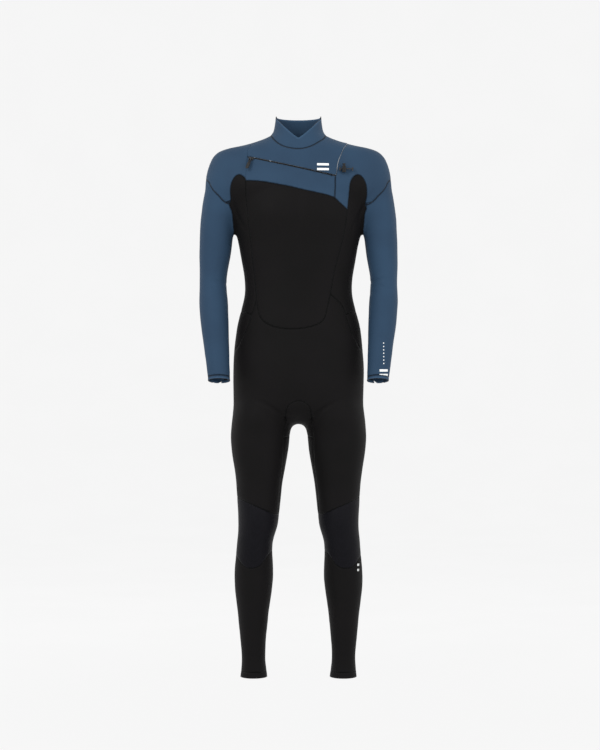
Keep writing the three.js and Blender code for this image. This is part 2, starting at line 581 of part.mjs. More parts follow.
// The pull hangs from its pivot, leaning out with the slope of the chest.
const PULL_FRAME = SLIDER_FRAME.clone()
  .multiply(new THREE.Matrix4().makeTranslation(...PIVOT))
  .multiply(new THREE.Matrix4().makeRotationY(-PULL_TILT));

function pullLink() {
  const half = LINK_WIDTH / 2;
  const bar = LINK_BAR / 2;
  const foot = -LINK_LENGTH + bar;
  return placed(joined([
    rod([0, -half, 0], [0, half, 0], bar, 10),
    rod([0, -half, foot], [0, half, foot], bar, 10),
    box([-bar, half - LINK_BAR, foot], [bar, half, 0]),
    box([-bar, -half, foot], [bar, -half + LINK_BAR, 0]),
  ]), PULL_FRAME);
}

function pullTab() {
  const centre = -LINK_LENGTH + LINK_BAR / 2;
  const hole = LINK_BAR / 2 + CLEAR;
  const half = LINK_WIDTH / 2 - LINK_BAR - CLEAR;
  const top = centre - hole - 1.6;
  const outline = new THREE.Shape();
  outline.moveTo(-TAB_WIDTH / 2, top);
  outline.lineTo(-TAB_WIDTH / 2, top - TAB_LENGTH + TAB_WIDTH / 2);
  outline.absarc(0, top - TAB_LENGTH + TAB_WIDTH / 2, TAB_WIDTH / 2, Math.PI, 2 * Math.PI, false);
  outline.lineTo(TAB_WIDTH / 2, top);
  const plate = new THREE.ExtrudeGeometry(outline, { depth: 2, bevelEnabled: false, curveSegments: 6 });
  plate.rotateX(Math.PI / 2);
  plate.rotateZ(Math.PI / 2);
  plate.translate(-1, 0, 0);
  const roll = rod([0, -half, centre], [0, half, centre], hole + 1.1, 12)
    .add(box([-1, -half, top - 1], [1, half, centre]))
    .subtract(rod([0, -half - 1, centre], [0, half + 1, centre], hole, 12));
  return placed(solid(plate).add(roll), PULL_FRAME);
}

// ---- Draw cord and its lock, in front of the flap's free edge ----

const CORD_Y = skinY(LOCK_X, CORD_Z, -1) - LOCK_STANDOFF - LOCK_DEPTH / 2;

function cordAnchor(x) {
  const low = CORD_Z - ANCHOR_HEIGHT / 2;
  const skin = Math.min(skinY(x, low, -1), skinY(x + ANCHOR_WIDTH, low, -1));
  return box([x, CORD_Y - CORD_DIAMETER, low], [x + ANCHOR_WIDTH, skin - 2 * CLEAR, low + ANCHOR_HEIGHT]);
}

const atLock = (body) => body.translate([LOCK_X, CORD_Y, CORD_Z]);
const LOCK_BOTTOM = -LOCK_HEIGHT / 2 - 0.5;
const LOCK_TOP = LOCK_BOTTOM + LOCK_HEIGHT;
const POCKET_RADIUS = PLUNGER_DIAMETER / 2 + CLEAR;
const CORD_HOLE = CORD_DIAMETER / 2 + 1.5 * CLEAR;
const PLUNGER_BOTTOM = -CORD_HOLE - PLUNGER_FOOT;

function cordLock() {
  const round = 2.5;
  const halfX = LOCK_WIDTH / 2;
  const halfY = LOCK_DEPTH / 2;
  const outline = new THREE.Shape();
  outline.absarc(halfX - round, halfY - round, round, 0, Math.PI / 2, false);
  outline.absarc(-halfX + round, halfY - round, round, Math.PI / 2, Math.PI, false);
  outline.absarc(-halfX + round, -halfY + round, round, Math.PI, 1.5 * Math.PI, false);
  outline.absarc(halfX - round, -halfY + round, round, 1.5 * Math.PI, 2 * Math.PI, false);
  const shell = new THREE.ExtrudeGeometry(outline, { depth: LOCK_HEIGHT, bevelEnabled: false, curveSegments: 3 });
  shell.translate(0, 0, LOCK_BOTTOM);
  return atLock(solid(shell)
    .subtract(rod([0, 0, LOCK_BOTTOM + LOCK_FLOOR], [0, 0, LOCK_TOP + 1], POCKET_RADIUS, 16))
    .subtract(rod([-LOCK_WIDTH, 0, 0], [LOCK_WIDTH, 0, 0], CORD_HOLE, 12)));
}

function lockButton() {
  const face = LOCK_TOP + PRESS_TRAVEL + CLEAR;
  const slot = box([-PLUNGER_DIAMETER, -CORD_HOLE, -CORD_HOLE],
    [PLUNGER_DIAMETER, CORD_HOLE, CORD_HOLE + PRESS_TRAVEL]);
  return atLock(rod([0, 0, PLUNGER_BOTTOM], [0, 0, face + 0.2], PLUNGER_DIAMETER / 2, 16)
    .add(rod([0, 0, face], [0, 0, face + BUTTON_HEIGHT], BUTTON_DIAMETER / 2, 16))
    .subtract(slot));
}

class Helix extends THREE.Curve {
  constructor(radius, low, high, turns) {
    super();
    Object.assign(this, { radius, low, high, turns });
  }

  getPoint(t) {
    const angle = 2 * Math.PI * this.turns * t;
    return new THREE.Vector3(this.radius * Math.cos(angle), this.radius * Math.sin(angle),
      this.low + (this.high - this.low) * t);
  }
}

function lockSpring() {
  const wire = new THREE.Shape();
  wire.absarc(0, 0, SPRING_WIRE / 2, 0, 2 * Math.PI, false);
  const low = LOCK_BOTTOM + LOCK_FLOOR + CLEAR + SPRING_WIRE / 2;
  const high = PLUNGER_BOTTOM - CLEAR - SPRING_WIRE / 2;
  const path = new Helix(PLUNGER_DIAMETER / 2 - SPRING_WIRE, low, high, 2);
  return atLock(solid(new THREE.ExtrudeGeometry(wire, {
    steps: 24, extrudePath: path, curveSegments: 3, bevelEnabled: false,
  })));
}

// ---- Assembly ----

const TAPE_LOOK = { color: 0x141416, roughness: 0.9 };
const PLASTIC = { color: 0x0d0d0f, roughness: 0.45 };
const STEEL = { color: 0x8a8c90, roughness: 0.35, metalness: 0.9 };

function fittings() {
  const half = ZIP_GAP / 2 - CLEAR / 2;
  const boxStart = ZIP_ANGLE - zipAngle(PIN_LENGTH);
  const cordEnd = CORD_START_X + CORD_LENGTH;
  return [
    { name: 'neck_barrier', body: neckBarrier(), look: BLACK },
    { name: 'zip_tape_lower', body: zipTape(false), look: TAPE_LOOK },
    { name: 'zip_tape_upper', body: zipTape(true), look: TAPE_LOOK },
    { name: 'zip_teeth_lower', body: zipTeeth(false), look: PLASTIC },
    { name: 'zip_teeth_upper', body: zipTeeth(true), look: PLASTIC },
    {
      name: 'zip_top_stop',
      body: zipSector(TEETH_BOTTOM, TEETH_TOP, 0, zipAngle(STOP_LENGTH), -half, -CLEAR / 2, 1),
      look: PLASTIC,
    },
    {
      name: 'zip_box',
      body: zipSector(TEETH_BOTTOM, TEETH_TOP, boxStart, ZIP_ANGLE, -half, -CLEAR / 2, 1),
      look: PLASTIC,
    },
    {
      name: 'zip_pin',
      body: zipSector(TEETH_BOTTOM, TEETH_TOP, boxStart, ZIP_ANGLE, CLEAR / 2, half, 1),
      look: PLASTIC,
    },
    { name: 'zip_slider', body: zipSlider(), look: PLASTIC },
    { name: 'pull_link', body: pullLink(), look: PLASTIC },
    { name: 'pull_tab', body: pullTab(), look: PLASTIC },
    {
      name: 'drawcord',
      body: rod([CORD_START_X, CORD_Y, CORD_Z], [cordEnd, CORD_Y, CORD_Z], CORD_DIAMETER / 2, 8),
      look: TAPE_LOOK,
    },
    { name: 'cord_anchor_inner', body: cordAnchor(CORD_START_X - CLEAR - ANCHOR_WIDTH), look: TAPE_LOOK },
    { name: 'cord_anchor_outer', body: cordAnchor(cordEnd + CLEAR), look: TAPE_LOOK },
    { name: 'cord_lock', body: cordLock(), look: PLASTIC },
    { name: 'lock_button', body: lockButton(), look: PLASTIC },
    { name: 'lock_spring', body: lockSpring(), look: STEEL },
  ];
}

function meshOf({ name, body, look }) {
  const mesh = new THREE.Mesh(geometryOf(body), new THREE.MeshStandardMaterial(look));
  mesh.name = name;
  return mesh;
}

const suit = new THREE.Group();
const pieces = cutPanels();
PANELS.forEach(({ name, at, look }) => suit.add(meshOf({ name, body: pieceAt(pieces, at), look })));
fittings().forEach((fitting) => suit.add(meshOf(fitting)));

export default suit;
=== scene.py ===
"""Full-length chest-zip wetsuit, standing as if worn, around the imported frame.

Metres, +Z up, the wearer's front towards -Y.

One fine skin is made from the body's levels, cut into sewn panels along the frame's own panels, and given its
thickness, seams and folds. The zip, its pull and the draw cord's lock are built on their packed places.
"""

import json
import math

import bmesh
import bpy
import numpy as np
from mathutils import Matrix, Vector, noise
from mathutils.bvhtree import BVHTree
from mathutils.kdtree import KDTree


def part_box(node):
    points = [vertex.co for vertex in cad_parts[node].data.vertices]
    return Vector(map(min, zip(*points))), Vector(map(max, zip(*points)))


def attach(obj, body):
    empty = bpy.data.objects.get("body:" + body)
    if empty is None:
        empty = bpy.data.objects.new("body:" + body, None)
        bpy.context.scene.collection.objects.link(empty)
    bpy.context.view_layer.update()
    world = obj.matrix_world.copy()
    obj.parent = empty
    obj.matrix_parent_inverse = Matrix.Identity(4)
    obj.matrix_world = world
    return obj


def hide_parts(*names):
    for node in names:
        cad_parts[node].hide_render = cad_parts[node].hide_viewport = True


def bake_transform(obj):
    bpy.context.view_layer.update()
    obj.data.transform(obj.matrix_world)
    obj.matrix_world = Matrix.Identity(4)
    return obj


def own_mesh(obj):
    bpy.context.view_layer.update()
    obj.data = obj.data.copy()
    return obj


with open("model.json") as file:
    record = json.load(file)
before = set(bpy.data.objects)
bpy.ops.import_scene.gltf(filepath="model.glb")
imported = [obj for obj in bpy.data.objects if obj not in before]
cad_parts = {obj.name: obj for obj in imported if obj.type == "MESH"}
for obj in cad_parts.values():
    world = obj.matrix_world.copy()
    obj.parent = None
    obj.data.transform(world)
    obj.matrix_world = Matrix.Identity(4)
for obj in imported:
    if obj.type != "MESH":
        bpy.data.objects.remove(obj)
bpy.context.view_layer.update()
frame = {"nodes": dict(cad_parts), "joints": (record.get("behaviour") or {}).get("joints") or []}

MM = 0.001
NODES = frame["nodes"]
JOINTS = {joint["name"]: joint for joint in frame["joints"]}

# ---- Camera: level, straight in front ----

CAMERA_DISTANCE = 5.0
CAMERA_HEIGHT = -0.635
CAMERA_SIDE = 0.004
CAMERA_LENS = 89.5

camera_data = bpy.data.cameras.new("camera")
camera_data.lens = CAMERA_LENS
camera = bpy.data.objects.new("camera", camera_data)
bpy.context.scene.collection.objects.link(camera)
camera.location = (CAMERA_SIDE, -CAMERA_DISTANCE, CAMERA_HEIGHT)
camera.rotation_euler = (math.pi / 2, 0, 0)
bpy.context.scene.camera = camera
bpy.context.scene.view_settings.view_transform = "Standard"

# ---- Levels of the body, in millimetres: height, width, depth, centre x, centre y ----

NECK = [(82, 122, 116, 0, 4), (64, 122, 116, 0, 4), (-8, 142, 128, 0, 3), (-60, 150, 132, 0, 4)]
YOKE = [(8, 134, 128, 0, 3), (-5, 206, 136, 0, 6), (-20, 300, 150, 0, 6), (-33, 420, 164, 0, 5),
        (-62, 476, 178, 0, 4), (-125, 502, 206, 0, 2), (-205, 350, 170, 0, 0)]
TORSO = [(-100, 330, 202, 0, 3), (-205, 350, 228, 0, 0), (-300, 316, 206, 0, -2), (-400, 286, 190, 0, -2),
         (-520, 334, 208, 0, 4), (-640, 352, 232, 0, 10), (-715, 350, 218, 0, 12), (-764, 120, 110, 0, 10)]
ARM = [(-62, 72, 86, 198, 5), (-200, 92, 104, 215, 7), (-300, 86, 94, 223, 7), (-390, 72, 84, 229, 4),
       (-450, 77, 84, 227, -8), (-650, 60, 54, 210, -60), (-662, 60, 54, 209, -63), (-684, 60, 54, 207, -69)]
LEG = [(-640, 110, 120, 88, 12), (-738, 160, 192, 98, 10), (-790, 160, 172, 102, 8),
       (-925, 124, 144, 105, 2), (-1032, 106, 120, 108, -5), (-1088, 96, 116, 117, -2),
       (-1172, 104, 118, 120, 12), (-1290, 80, 96, 122, 12), (-1396, 64, 78, 121, 8),
       (-1444, 72, 84, 120, 8), (-1456, 73, 85, 120, 8)]
WRIST_Z = -650 * MM
WRIST_TILT = 0.27
ANKLE_Z = -1444 * MM

WALL = 3 * MM
VOXEL = 4.6 * MM
RING_STEP = 6 * MM


def section(levels, height):
    """Width, depth and centre of a column at a height, on a monotone curve through its levels."""
    z = [-row[0] for row in levels]
    at = min(max(-height, z[0]), z[-1])
    low = max(1, min(len(z) - 1, int(np.searchsorted(z, at))))
    share = (at - z[low - 1]) / (z[low] - z[low - 1])

    def value(key):
        pick = [row[key] for row in levels]
        span = z[low] - z[low - 1]
        slopes = [(pick[i + 1] - pick[i]) / (z[i + 1] - z[i]) for i in range(len(z) - 1)]

        def tangent(i):
            if i == 0 or i == len(z) - 1:
                return slopes[low - 1]
            a, b = slopes[i - 1], slopes[i]
            if a * b <= 0:
                return 0.0
            return math.copysign(min(abs(a + b) / 2, 2 * abs(a), 2 * abs(b)), a)

        m0, m1 = tangent(low - 1) * span, tangent(low) * span
        s2, s3 = share ** 2, share ** 3
        return ((2 * s3 - 3 * s2 + 1) * pick[low - 1] + (s3 - 2 * s2 + share) * m0
                + (3 * s2 - 2 * s3) * pick[low] + (s3 - s2) * m1)

    return tuple(value(key) * MM for key in (1, 2, 3, 4))


def tube_faces(rings, sides, caps=True, flip=False):
    """Faces between rings of vertices, closed by caps or open. flip turns them over."""
    faces = []
    for i in range(rings):
        for k in range(sides):
            a, b = i * sides + k, i * sides + (k + 1) % sides
            faces.append((a, a + sides, b + sides, b) if flip else (a, b, b + sides, a + sides))
    if caps:
        first, last = range(sides), range(rings * sides, (rings + 1) * sides)
        faces.append(tuple(first if flip else reversed(first)))
        faces.append(tuple(reversed(last) if flip else last))
    return faces


def column(levels, mirror=1, sides=64, tilt=0.0):
    """Vertices and faces of a closed column through its levels."""
    top, bottom = levels[0][0], levels[-1][0]
    rings = max(2, round((top - bottom) * MM / RING_STEP))
    verts = []
    for i in range(rings + 1):
        height = top + (bottom - top) * i / rings
        width, depth, x, y = section(levels, height)
        share = i / rings
        for k in range(sides):
            angle = 2 * math.pi * k / sides
            through = math.sin(angle) * depth / 2
            verts.append((mirror * x + math.cos(angle) * width / 2, y + through,
                          height * MM - tilt * share ** 2 * through))
    return verts, tube_faces(rings, sides, flip=True)


def mesh_object(name, verts, faces):
    mesh = bpy.data.meshes.new(name)
    mesh.from_pydata([tuple(v) for v in verts], [], [tuple(f) for f in faces])
    mesh.validate()
    mesh.update()
    obj = bpy.data.objects.new(name, mesh)
    bpy.context.scene.collection.objects.link(obj)
    return obj


def bake(obj):
    """Applies the object's modifiers to its mesh."""
    bpy.context.view_layer.update()
    graph = bpy.context.evaluated_depsgraph_get()
    mesh = bpy.data.meshes.new_from_object(obj.evaluated_get(graph), preserve_all_data_layers=True,
                                           depsgraph=graph)
    old = obj.data
    obj.modifiers.clear()
    obj.data = mesh
    bpy.data.meshes.remove(old)
    return obj


def coordinates(mesh):
    co = np.empty(len(mesh.vertices) * 3)
    mesh.vertices.foreach_get("co", co)
    return co.reshape(-1, 3)


# ---- The fine skin ----

def closed_body():
    """All columns as one closed surface with even, small faces."""
    parts = [column(NECK, sides=64), column(YOKE, sides=128), column(TORSO, sides=112)]
    for mirror in (-1, 1):
        parts.append(column(ARM, mirror, sides=48, tilt=WRIST_TILT))
        parts.append(column(LEG, mirror, sides=72))
    verts, faces = [], []
    for part_verts, part_faces in parts:
        start = len(verts)
        verts += part_verts
        faces += [tuple(start + i for i in face) for face in part_faces]
    body = mesh_object("body", verts, faces)
    remesh = body.modifiers.new("remesh", "REMESH")
    remesh.mode = "VOXEL"
    remesh.voxel_size = VOXEL
    return bake(body)


def edge_pairs(mesh):
    pairs = np.empty(len(mesh.edges) * 2, int)
    mesh.edges.foreach_get("vertices", pairs)
    return pairs.reshape(-1, 2)


def neighbour_mean(co, pairs):
    total = np.zeros_like(co)
    count = np.zeros(len(co))
    for a, b in ((0, 1), (1, 0)):
        for axis in range(3):
            total[:, axis] += np.bincount(pairs[:, a], co[pairs[:, b], axis], len(co))
        count += np.bincount(pairs[:, a], minlength=len(co))
    return total / np.maximum(count, 1)[:, None]


def relax(co, pairs, rounds, weight=1.0):
    """Smooths without shrinking: a step in, then a slightly longer step out."""
    for _ in range(rounds):
        co = co + 0.5 * weight * (neighbour_mean(co, pairs) - co)
        co = co - 0.52 * weight * (neighbour_mean(co, pairs) - co)
    return co


def soften(co, pairs, rounds, weight):
    for _ in range(rounds):
        co = co + 0.5 * weight[:, None] * (neighbour_mean(co, pairs) - co)
    return co


def near(co, centre, radii):
    """How close each point is to a centre, from 0 to 1, as a rounded bump with those radii."""
    d = (co - np.array(centre)) / np.array(radii)
    return np.exp(-(d ** 2).sum(1))


# Places where limbs run into the trunk and neoprene spans the corner: centre, radii.
BRIDGES = [
    ((0.172, 0.0, -0.185), (0.06, 0.12, 0.07)),
    ((0.19, 0.0, -0.10), (0.07, 0.12, 0.07)),
    ((0.0, 0.0, -0.775), (0.09, 0.13, 0.05)),
    ((0.09, 0.0, -0.72), (0.12, 0.14, 0.06)),
    ((0.10, 0.0, -0.02), (0.07, 0.10, 0.04)),
]

# Rounded swells under the skin: centre, radii, height. Each is made on both sides.
SWELLS = [
    ((0.078, -0.10, -0.20), (0.062, 0.05, 0.05), 0.006),
    ((0.085, 0.10, -0.16), (0.055, 0.05, 0.06), 0.006),
    ((0.078, 0.115, -0.665), (0.07, 0.06, 0.07), 0.013),
    ((0.106, -0.07, -1.02), (0.030, 0.04, 0.035), 0.004),
    ((0.118, 0.065, -1.165), (0.034, 0.04, 0.06), 0.004),
    ((0.100, -0.075, -0.83), (0.045, 0.05, 0.09), 0.003),
    ((0.0, 0.095, -0.33), (0.018, 0.04, 0.12), -0.004),
    ((0.0, -0.10, -0.17), (0.012, 0.05, 0.05), -0.0015),
]

# Soft creases in the worn neoprene: centre, direction along, half length, half width, depth.
CREASES = [
    ((0.205, -0.035, -0.383), (1.0, 0.0, 0.25), 0.026, 0.006, 0.0026),
    ((0.222, -0.035, -0.398), (1.0, 0.0, -0.18), 0.024, 0.005, 0.0018),
    ((0.206, -0.035, -0.412), (1.0, 0.0, 0.30), 0.020, 0.005, 0.0014),
    ((-0.208, -0.035, -0.388), (1.0, 0.0, -0.20), 0.024, 0.006, 0.0016),
    ((-0.222, -0.035, -0.404), (1.0, 0.0, 0.15), 0.022, 0.005, 0.0011),
    ((0.165, -0.07, -0.205), (0.35, 0.0, 1.0), 0.045, 0.006, 0.0030),
    ((-0.165, -0.07, -0.205), (-0.35, 0.0, 1.0), 0.045, 0.006, 0.0030),
    ((0.152, -0.08, -0.225), (0.5, 0.0, 1.0), 0.035, 0.006, 0.0018),
    ((-0.152, -0.08, -0.225), (-0.5, 0.0, 1.0), 0.035, 0.006, 0.0018),
    ((0.052, -0.08, -0.735), (1.0, 0.0, 0.95), 0.045, 0.007, 0.0026),
    ((-0.052, -0.08, -0.735), (1.0, 0.0, -0.95), 0.045, 0.007, 0.0026),
    ((0.085, -0.09, -0.715), (1.0, 0.0, 0.55), 0.045, 0.007, 0.0014),
    ((-0.085, -0.09, -0.715), (1.0, 0.0, -0.55), 0.045, 0.007, 0.0014),
    ((0.112, 0.06, -1.055), (1.0, 0.0, 0.10), 0.035, 0.006, 0.0022),
    ((-0.112, 0.06, -1.055), (1.0, 0.0, -0.10), 0.035, 0.006, 0.0022),
    ((0.112, 0.06, -1.080), (1.0, 0.0, -0.15), 0.030, 0.006, 0.0016),
    ((-0.112, 0.06, -1.080), (1.0, 0.0, 0.15), 0.030, 0.006, 0.0016),
    ((0.118, -0.05, -1.385), (1.0, 0.0, 0.20), 0.020, 0.006, 0.0012),
    ((-0.118, -0.05, -1.385), (1.0, 0.0, -0.20), 0.020, 0.006, 0.0012),
    ((0.0, 0.10, -0.42), (1.0, 0.0, 0.05), 0.09, 0.008, 0.0018),
    ((0.06, 0.10, -0.75), (1.0, 0.0, -0.35), 0.05, 0.007, 0.0030),
    ((-0.06, 0.10, -0.75), (1.0, 0.0, 0.35), 0.05, 0.007, 0.0030),
]
CREASE_REACH = 0.05  # how far through the body a crease acts
UNEVEN = 0.0007  # slow unevenness of stretched neoprene
UNEVEN_SCALE = 22.0


def normals_of(mesh):
    mesh.update()
    n = np.empty(len(mesh.vertices) * 3)
    mesh.vertices.foreach_get("normal", n)
    return n.reshape(-1, 3)


def write(mesh, co):
    mesh.vertices.foreach_set("co", np.ascontiguousarray(co).ravel())
    mesh.update()


def shape_body(mesh):
    co, pairs = coordinates(mesh), edge_pairs(mesh)
    co = relax(co, pairs, 12)
    weight = np.zeros(len(co))
    for centre, radii in BRIDGES:
        for mirror in (-1, 1):
            weight = np.maximum(weight, near(co, (mirror * centre[0], centre[1], centre[2]), radii))
    co = soften(co, pairs, 60, np.clip(weight * 1.3, 0, 1))
    co = relax(co, pairs, 10)
    write(mesh, co)
    n = normals_of(mesh)
    lift = np.zeros(len(co))
    for centre, radii, height in SWELLS:
        for mirror in ((-1, 1) if centre[0] else (1,)):
            lift += height * near(co, (mirror * centre[0], centre[1], centre[2]), radii)
    for centre, along, length, width, depth in CREASES:
        d = co - np.array(centre)
        a = np.array(along) / np.linalg.norm(along)
        u = d @ a
        across = np.array((-a[2], 0.0, a[0]))
        v = d @ across + 0.12 * u ** 2 / length
        w = d[:, 1] / CREASE_REACH
        shape = (1 - 1.4 * (v / width) ** 2) * np.exp(-(v / width) ** 2)
        lift -= depth * shape * np.exp(-(u / length) ** 2 - w ** 2)
    for i, point in enumerate(co):
        lift[i] += UNEVEN * noise.noise(Vector(point * UNEVEN_SCALE))
    write(mesh, co + n * lift[:, None])


# ---- The flap's hinge line ----

HINGE_AXIS = Vector(JOINTS["flap_open"]["axis"])
HINGE_POINT = Vector(JOINTS["flap_open"]["pos_m"])
HINGE_MARGIN = 8 * MM
FLAP_MIDDLE = (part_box("flap_panel")[0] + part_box("flap_panel")[1]) / 2
INTO_FLAP = HINGE_AXIS.cross(Vector((0, 0, 1))).normalized()
INTO_FLAP *= math.copysign(1, INTO_FLAP.dot(FLAP_MIDDLE - HINGE_POINT))

# ---- The zip's arc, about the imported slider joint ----

ZIP_AXIS = Vector(JOINTS["zip_travel"]["axis"]).normalized()
ZIP_AXIS *= math.copysign(1, ZIP_AXIS.z)
ZIP_CENTRE = Vector(JOINTS["zip_travel"]["pos_m"])
ZIP_RADIUS = 613.27 * MM
ZIP_START = Vector((-0.134, -0.06846, -0.058))
ZIP_ANGLE = math.radians(22.365)

zip_out = ZIP_START - ZIP_CENTRE
zip_out -= ZIP_AXIS * zip_out.dot(ZIP_AXIS)
zip_out.normalize()
zip_along = ZIP_AXIS.cross(zip_out)


def zip_place(along, out, up):
    """The point at a length along the zip, a distance out from the skin and a height off its line."""
    angle = along / ZIP_RADIUS
    radial = zip_out * math.cos(angle) + zip_along * math.sin(angle)
    return ZIP_CENTRE + radial * (ZIP_RADIUS + out) + ZIP_AXIS * up


def zip_coordinates(co):
    """Angle along the zip, distance out from its axis and height off its plane, for each point."""
    d = co - np.array(ZIP_CENTRE)
    x, y, h = d @ np.array(zip_out), d @ np.array(zip_along), d @ np.array(ZIP_AXIS)
    return np.arctan2(y, x), np.hypot(x, y), h


ZIP_RUN_OUT = 0.02  # radians past each end of the zip where the fit fades out
ZIP_FADE = 0.012
ZIP_REACH = 0.02  # up and down from the zip's line
ZIP_DEPTH = 0.05  # behind the arc, so that the back of the suit stays


def fit_to_zip(mesh):
    """Draws the skin onto the zip's arc beside the zip."""
    co = coordinates(mesh)
    angle, radius, h = zip_coordinates(co)
    inside = (1 / (1 + np.exp(-(angle + ZIP_RUN_OUT) / ZIP_FADE))
              / (1 + np.exp((angle - ZIP_ANGLE - ZIP_RUN_OUT) / ZIP_FADE)))
    weight = np.exp(-(h / ZIP_REACH) ** 2) * inside * (co[:, 1] < 0) * (radius > ZIP_RADIUS - ZIP_DEPTH)
    d = co - np.array(ZIP_CENTRE)
    d -= np.outer(d @ np.array(ZIP_AXIS), np.array(ZIP_AXIS))
    d /= np.linalg.norm(d, axis=1)[:, None]
    write(mesh, co + d * ((ZIP_RADIUS - radius) * weight)[:, None])


# ---- Cutting into panels ----

PANELS = ["collar", "flap_panel", "zip_band", "upper_back", "chest_panel", "lower_back",
          "hip_front", "seat_panel", "crotch_gusset"]
PAIRED = ("shoulder", "side_panel", "sleeve", "wrist_hem", "inner_leg", "leg_back", "knee_pad", "shin_panel",
          "ankle_hem")
PANELS += [f"{name}_{hand}" for name in PAIRED for hand in ("right", "left")]
SOFTENING = 3  # rounds of smoothing beside a seam
SEAM_ROUNDS = 8  # rounds of smoothing along a seam


def tree_of(names):
    """A search tree over some frame nodes, and the node of each of its faces."""
    verts, faces, owner = [], [], []
    for k, name in enumerate(names):
        mesh = NODES[name].data
        start = len(verts)
        verts += [v.co.copy() for v in mesh.vertices]
        faces += [[start + i for i in p.vertices] for p in mesh.polygons]
        owner += [k] * len(mesh.polygons)
    return BVHTree.FromPolygons(verts, faces), owner


COLLAR_TOP_Z = 0.056
COLLAR_REACH = [0.0, 0.014, 0.038, 0.061, 0.075]  # off the centre plane, in front
COLLAR_HEIGHT = [-0.007, 0.003, 0.025, 0.050, COLLAR_TOP_Z]  # of the top edge there
COLLAR_SIDE = 0.08  # half the width that the collar's cut looks at
COLLAR_FOOT_Z = -0.03
HAND_X, HAND_Y, HAND_Z = 0.17, -0.015, (-0.70, -0.60)  # what lies beyond these is a cuff
CUFF_POINT = (0.21, -0.060)


def collar_edge(x, y):
    """Height of the collar's top edge."""
    return COLLAR_TOP_Z if y > 0 else float(np.interp(abs(x), COLLAR_REACH, COLLAR_HEIGHT))


def in_order(elements):
    """Each mesh element once, in the same order on every run."""
    return list(dict.fromkeys(elements))


def trim(mesh):
    """Cuts the ends off at the collar, cuffs and ankles, along a clean edge."""
    bm = bmesh.new()
    bm.from_mesh(mesh)
    bmesh.ops.bisect_plane(bm, geom=bm.verts[:] + bm.edges[:] + bm.faces[:], plane_co=(0, 0, ANKLE_Z),
                           plane_no=(0, 0, -1), clear_outer=True)
    low = [v for v in bm.verts if abs(v.co.x) > HAND_X and v.co.y < HAND_Y
           and HAND_Z[0] < v.co.z < HAND_Z[1]]
    faces = in_order(f for v in low for f in v.link_faces)
    edges = in_order(e for f in faces for e in f.edges)
    for side in (-1, 1):
        part = [g for g in faces + edges + low if g.is_valid]
        part = [g for g in part if side * (g.co.x if hasattr(g, "co") else g.verts[0].co.x) > 0]
        bmesh.ops.bisect_plane(bm, geom=part, plane_co=(side * CUFF_POINT[0], CUFF_POINT[1], WRIST_Z),
                               plane_no=Vector((0, -WRIST_TILT, -1)).normalized(), clear_outer=True)
    top = [f for f in bm.faces if f.calc_center_median().z > COLLAR_FOOT_Z
           and abs(f.calc_center_median().x) < COLLAR_SIDE]
    cut = {}
    for edge in in_order(e for f in top for e in f.edges):
        a, b = edge.verts
        fa = a.co.z - collar_edge(a.co.x, a.co.y)
        fb = b.co.z - collar_edge(b.co.x, b.co.y)
        if fa * fb < 0:
            cut[edge] = (a, fa / (fa - fb))
    new = [bmesh.utils.edge_split(edge, vert, share)[1] for edge, (vert, share) in cut.items()]
    bmesh.ops.connect_verts(bm, verts=new)
    gone = [f for f in bm.faces if abs(f.calc_center_median().x) < COLLAR_SIDE
            and f.calc_center_median().z > collar_edge(*f.calc_center_median()[:2]) + 1e-5]
    bmesh.ops.delete(bm, geom=gone, context="FACES")
    loose = [v for v in bm.verts if not v.link_faces]
    bmesh.ops.delete(bm, geom=loose, context="VERTS")
    bm.to_mesh(mesh)
    bm.free()


def label_faces(mesh):
    """The panel that each face belongs to, with lone odd faces given to their neighbours."""
    tree, owner = tree_of(PANELS)
    labels = np.array([owner[tree.find_nearest(p.center)[2]] for p in mesh.polygons])
    by_edge = {}
    for p in mesh.polygons:
        for key in p.edge_keys:
            by_edge.setdefault(key, []).append(p.index)
    beside = [[] for _ in mesh.polygons]
    for faces in by_edge.values():
        if len(faces) == 2:
            beside[faces[0]].append(faces[1])
            beside[faces[1]].append(faces[0])
    for _ in range(3):
        changed = labels.copy()
        for i, others in enumerate(beside):
            values, counts = np.unique(labels[others], return_counts=True)
            if counts.max() >= 3 and values[counts.argmax()] != labels[i]:
                changed[i] = values[counts.argmax()]
        labels = changed
    return labels


def seam_members(mesh, labels):
    """For each vertex on a seam, the panels that meet there."""
    members = {}
    for p in mesh.polygons:
        for v in p.vertices:
            members.setdefault(v, set()).add(int(labels[p.index]))
    return {v: sorted(found) for v, found in members.items() if len(found) > 1}


def seam_edges(mesh, labels):
    """The edges between faces of two panels."""
    first, found = {}, []
    for p in mesh.polygons:
        for key in p.edge_keys:
            if key not in first:
                first[key] = labels[p.index]
            elif first[key] != labels[p.index]:
                found.append(key)
    return found


def seam_chains(mesh, labels):
    """For each vertex along a seam, away from its ends and corners, its two neighbours on the seam."""
    beside = {}
    for a, b in seam_edges(mesh, labels):
        beside.setdefault(a, []).append(b)
        beside.setdefault(b, []).append(a)
    return {v: others for v, others in beside.items() if len(others) == 2}


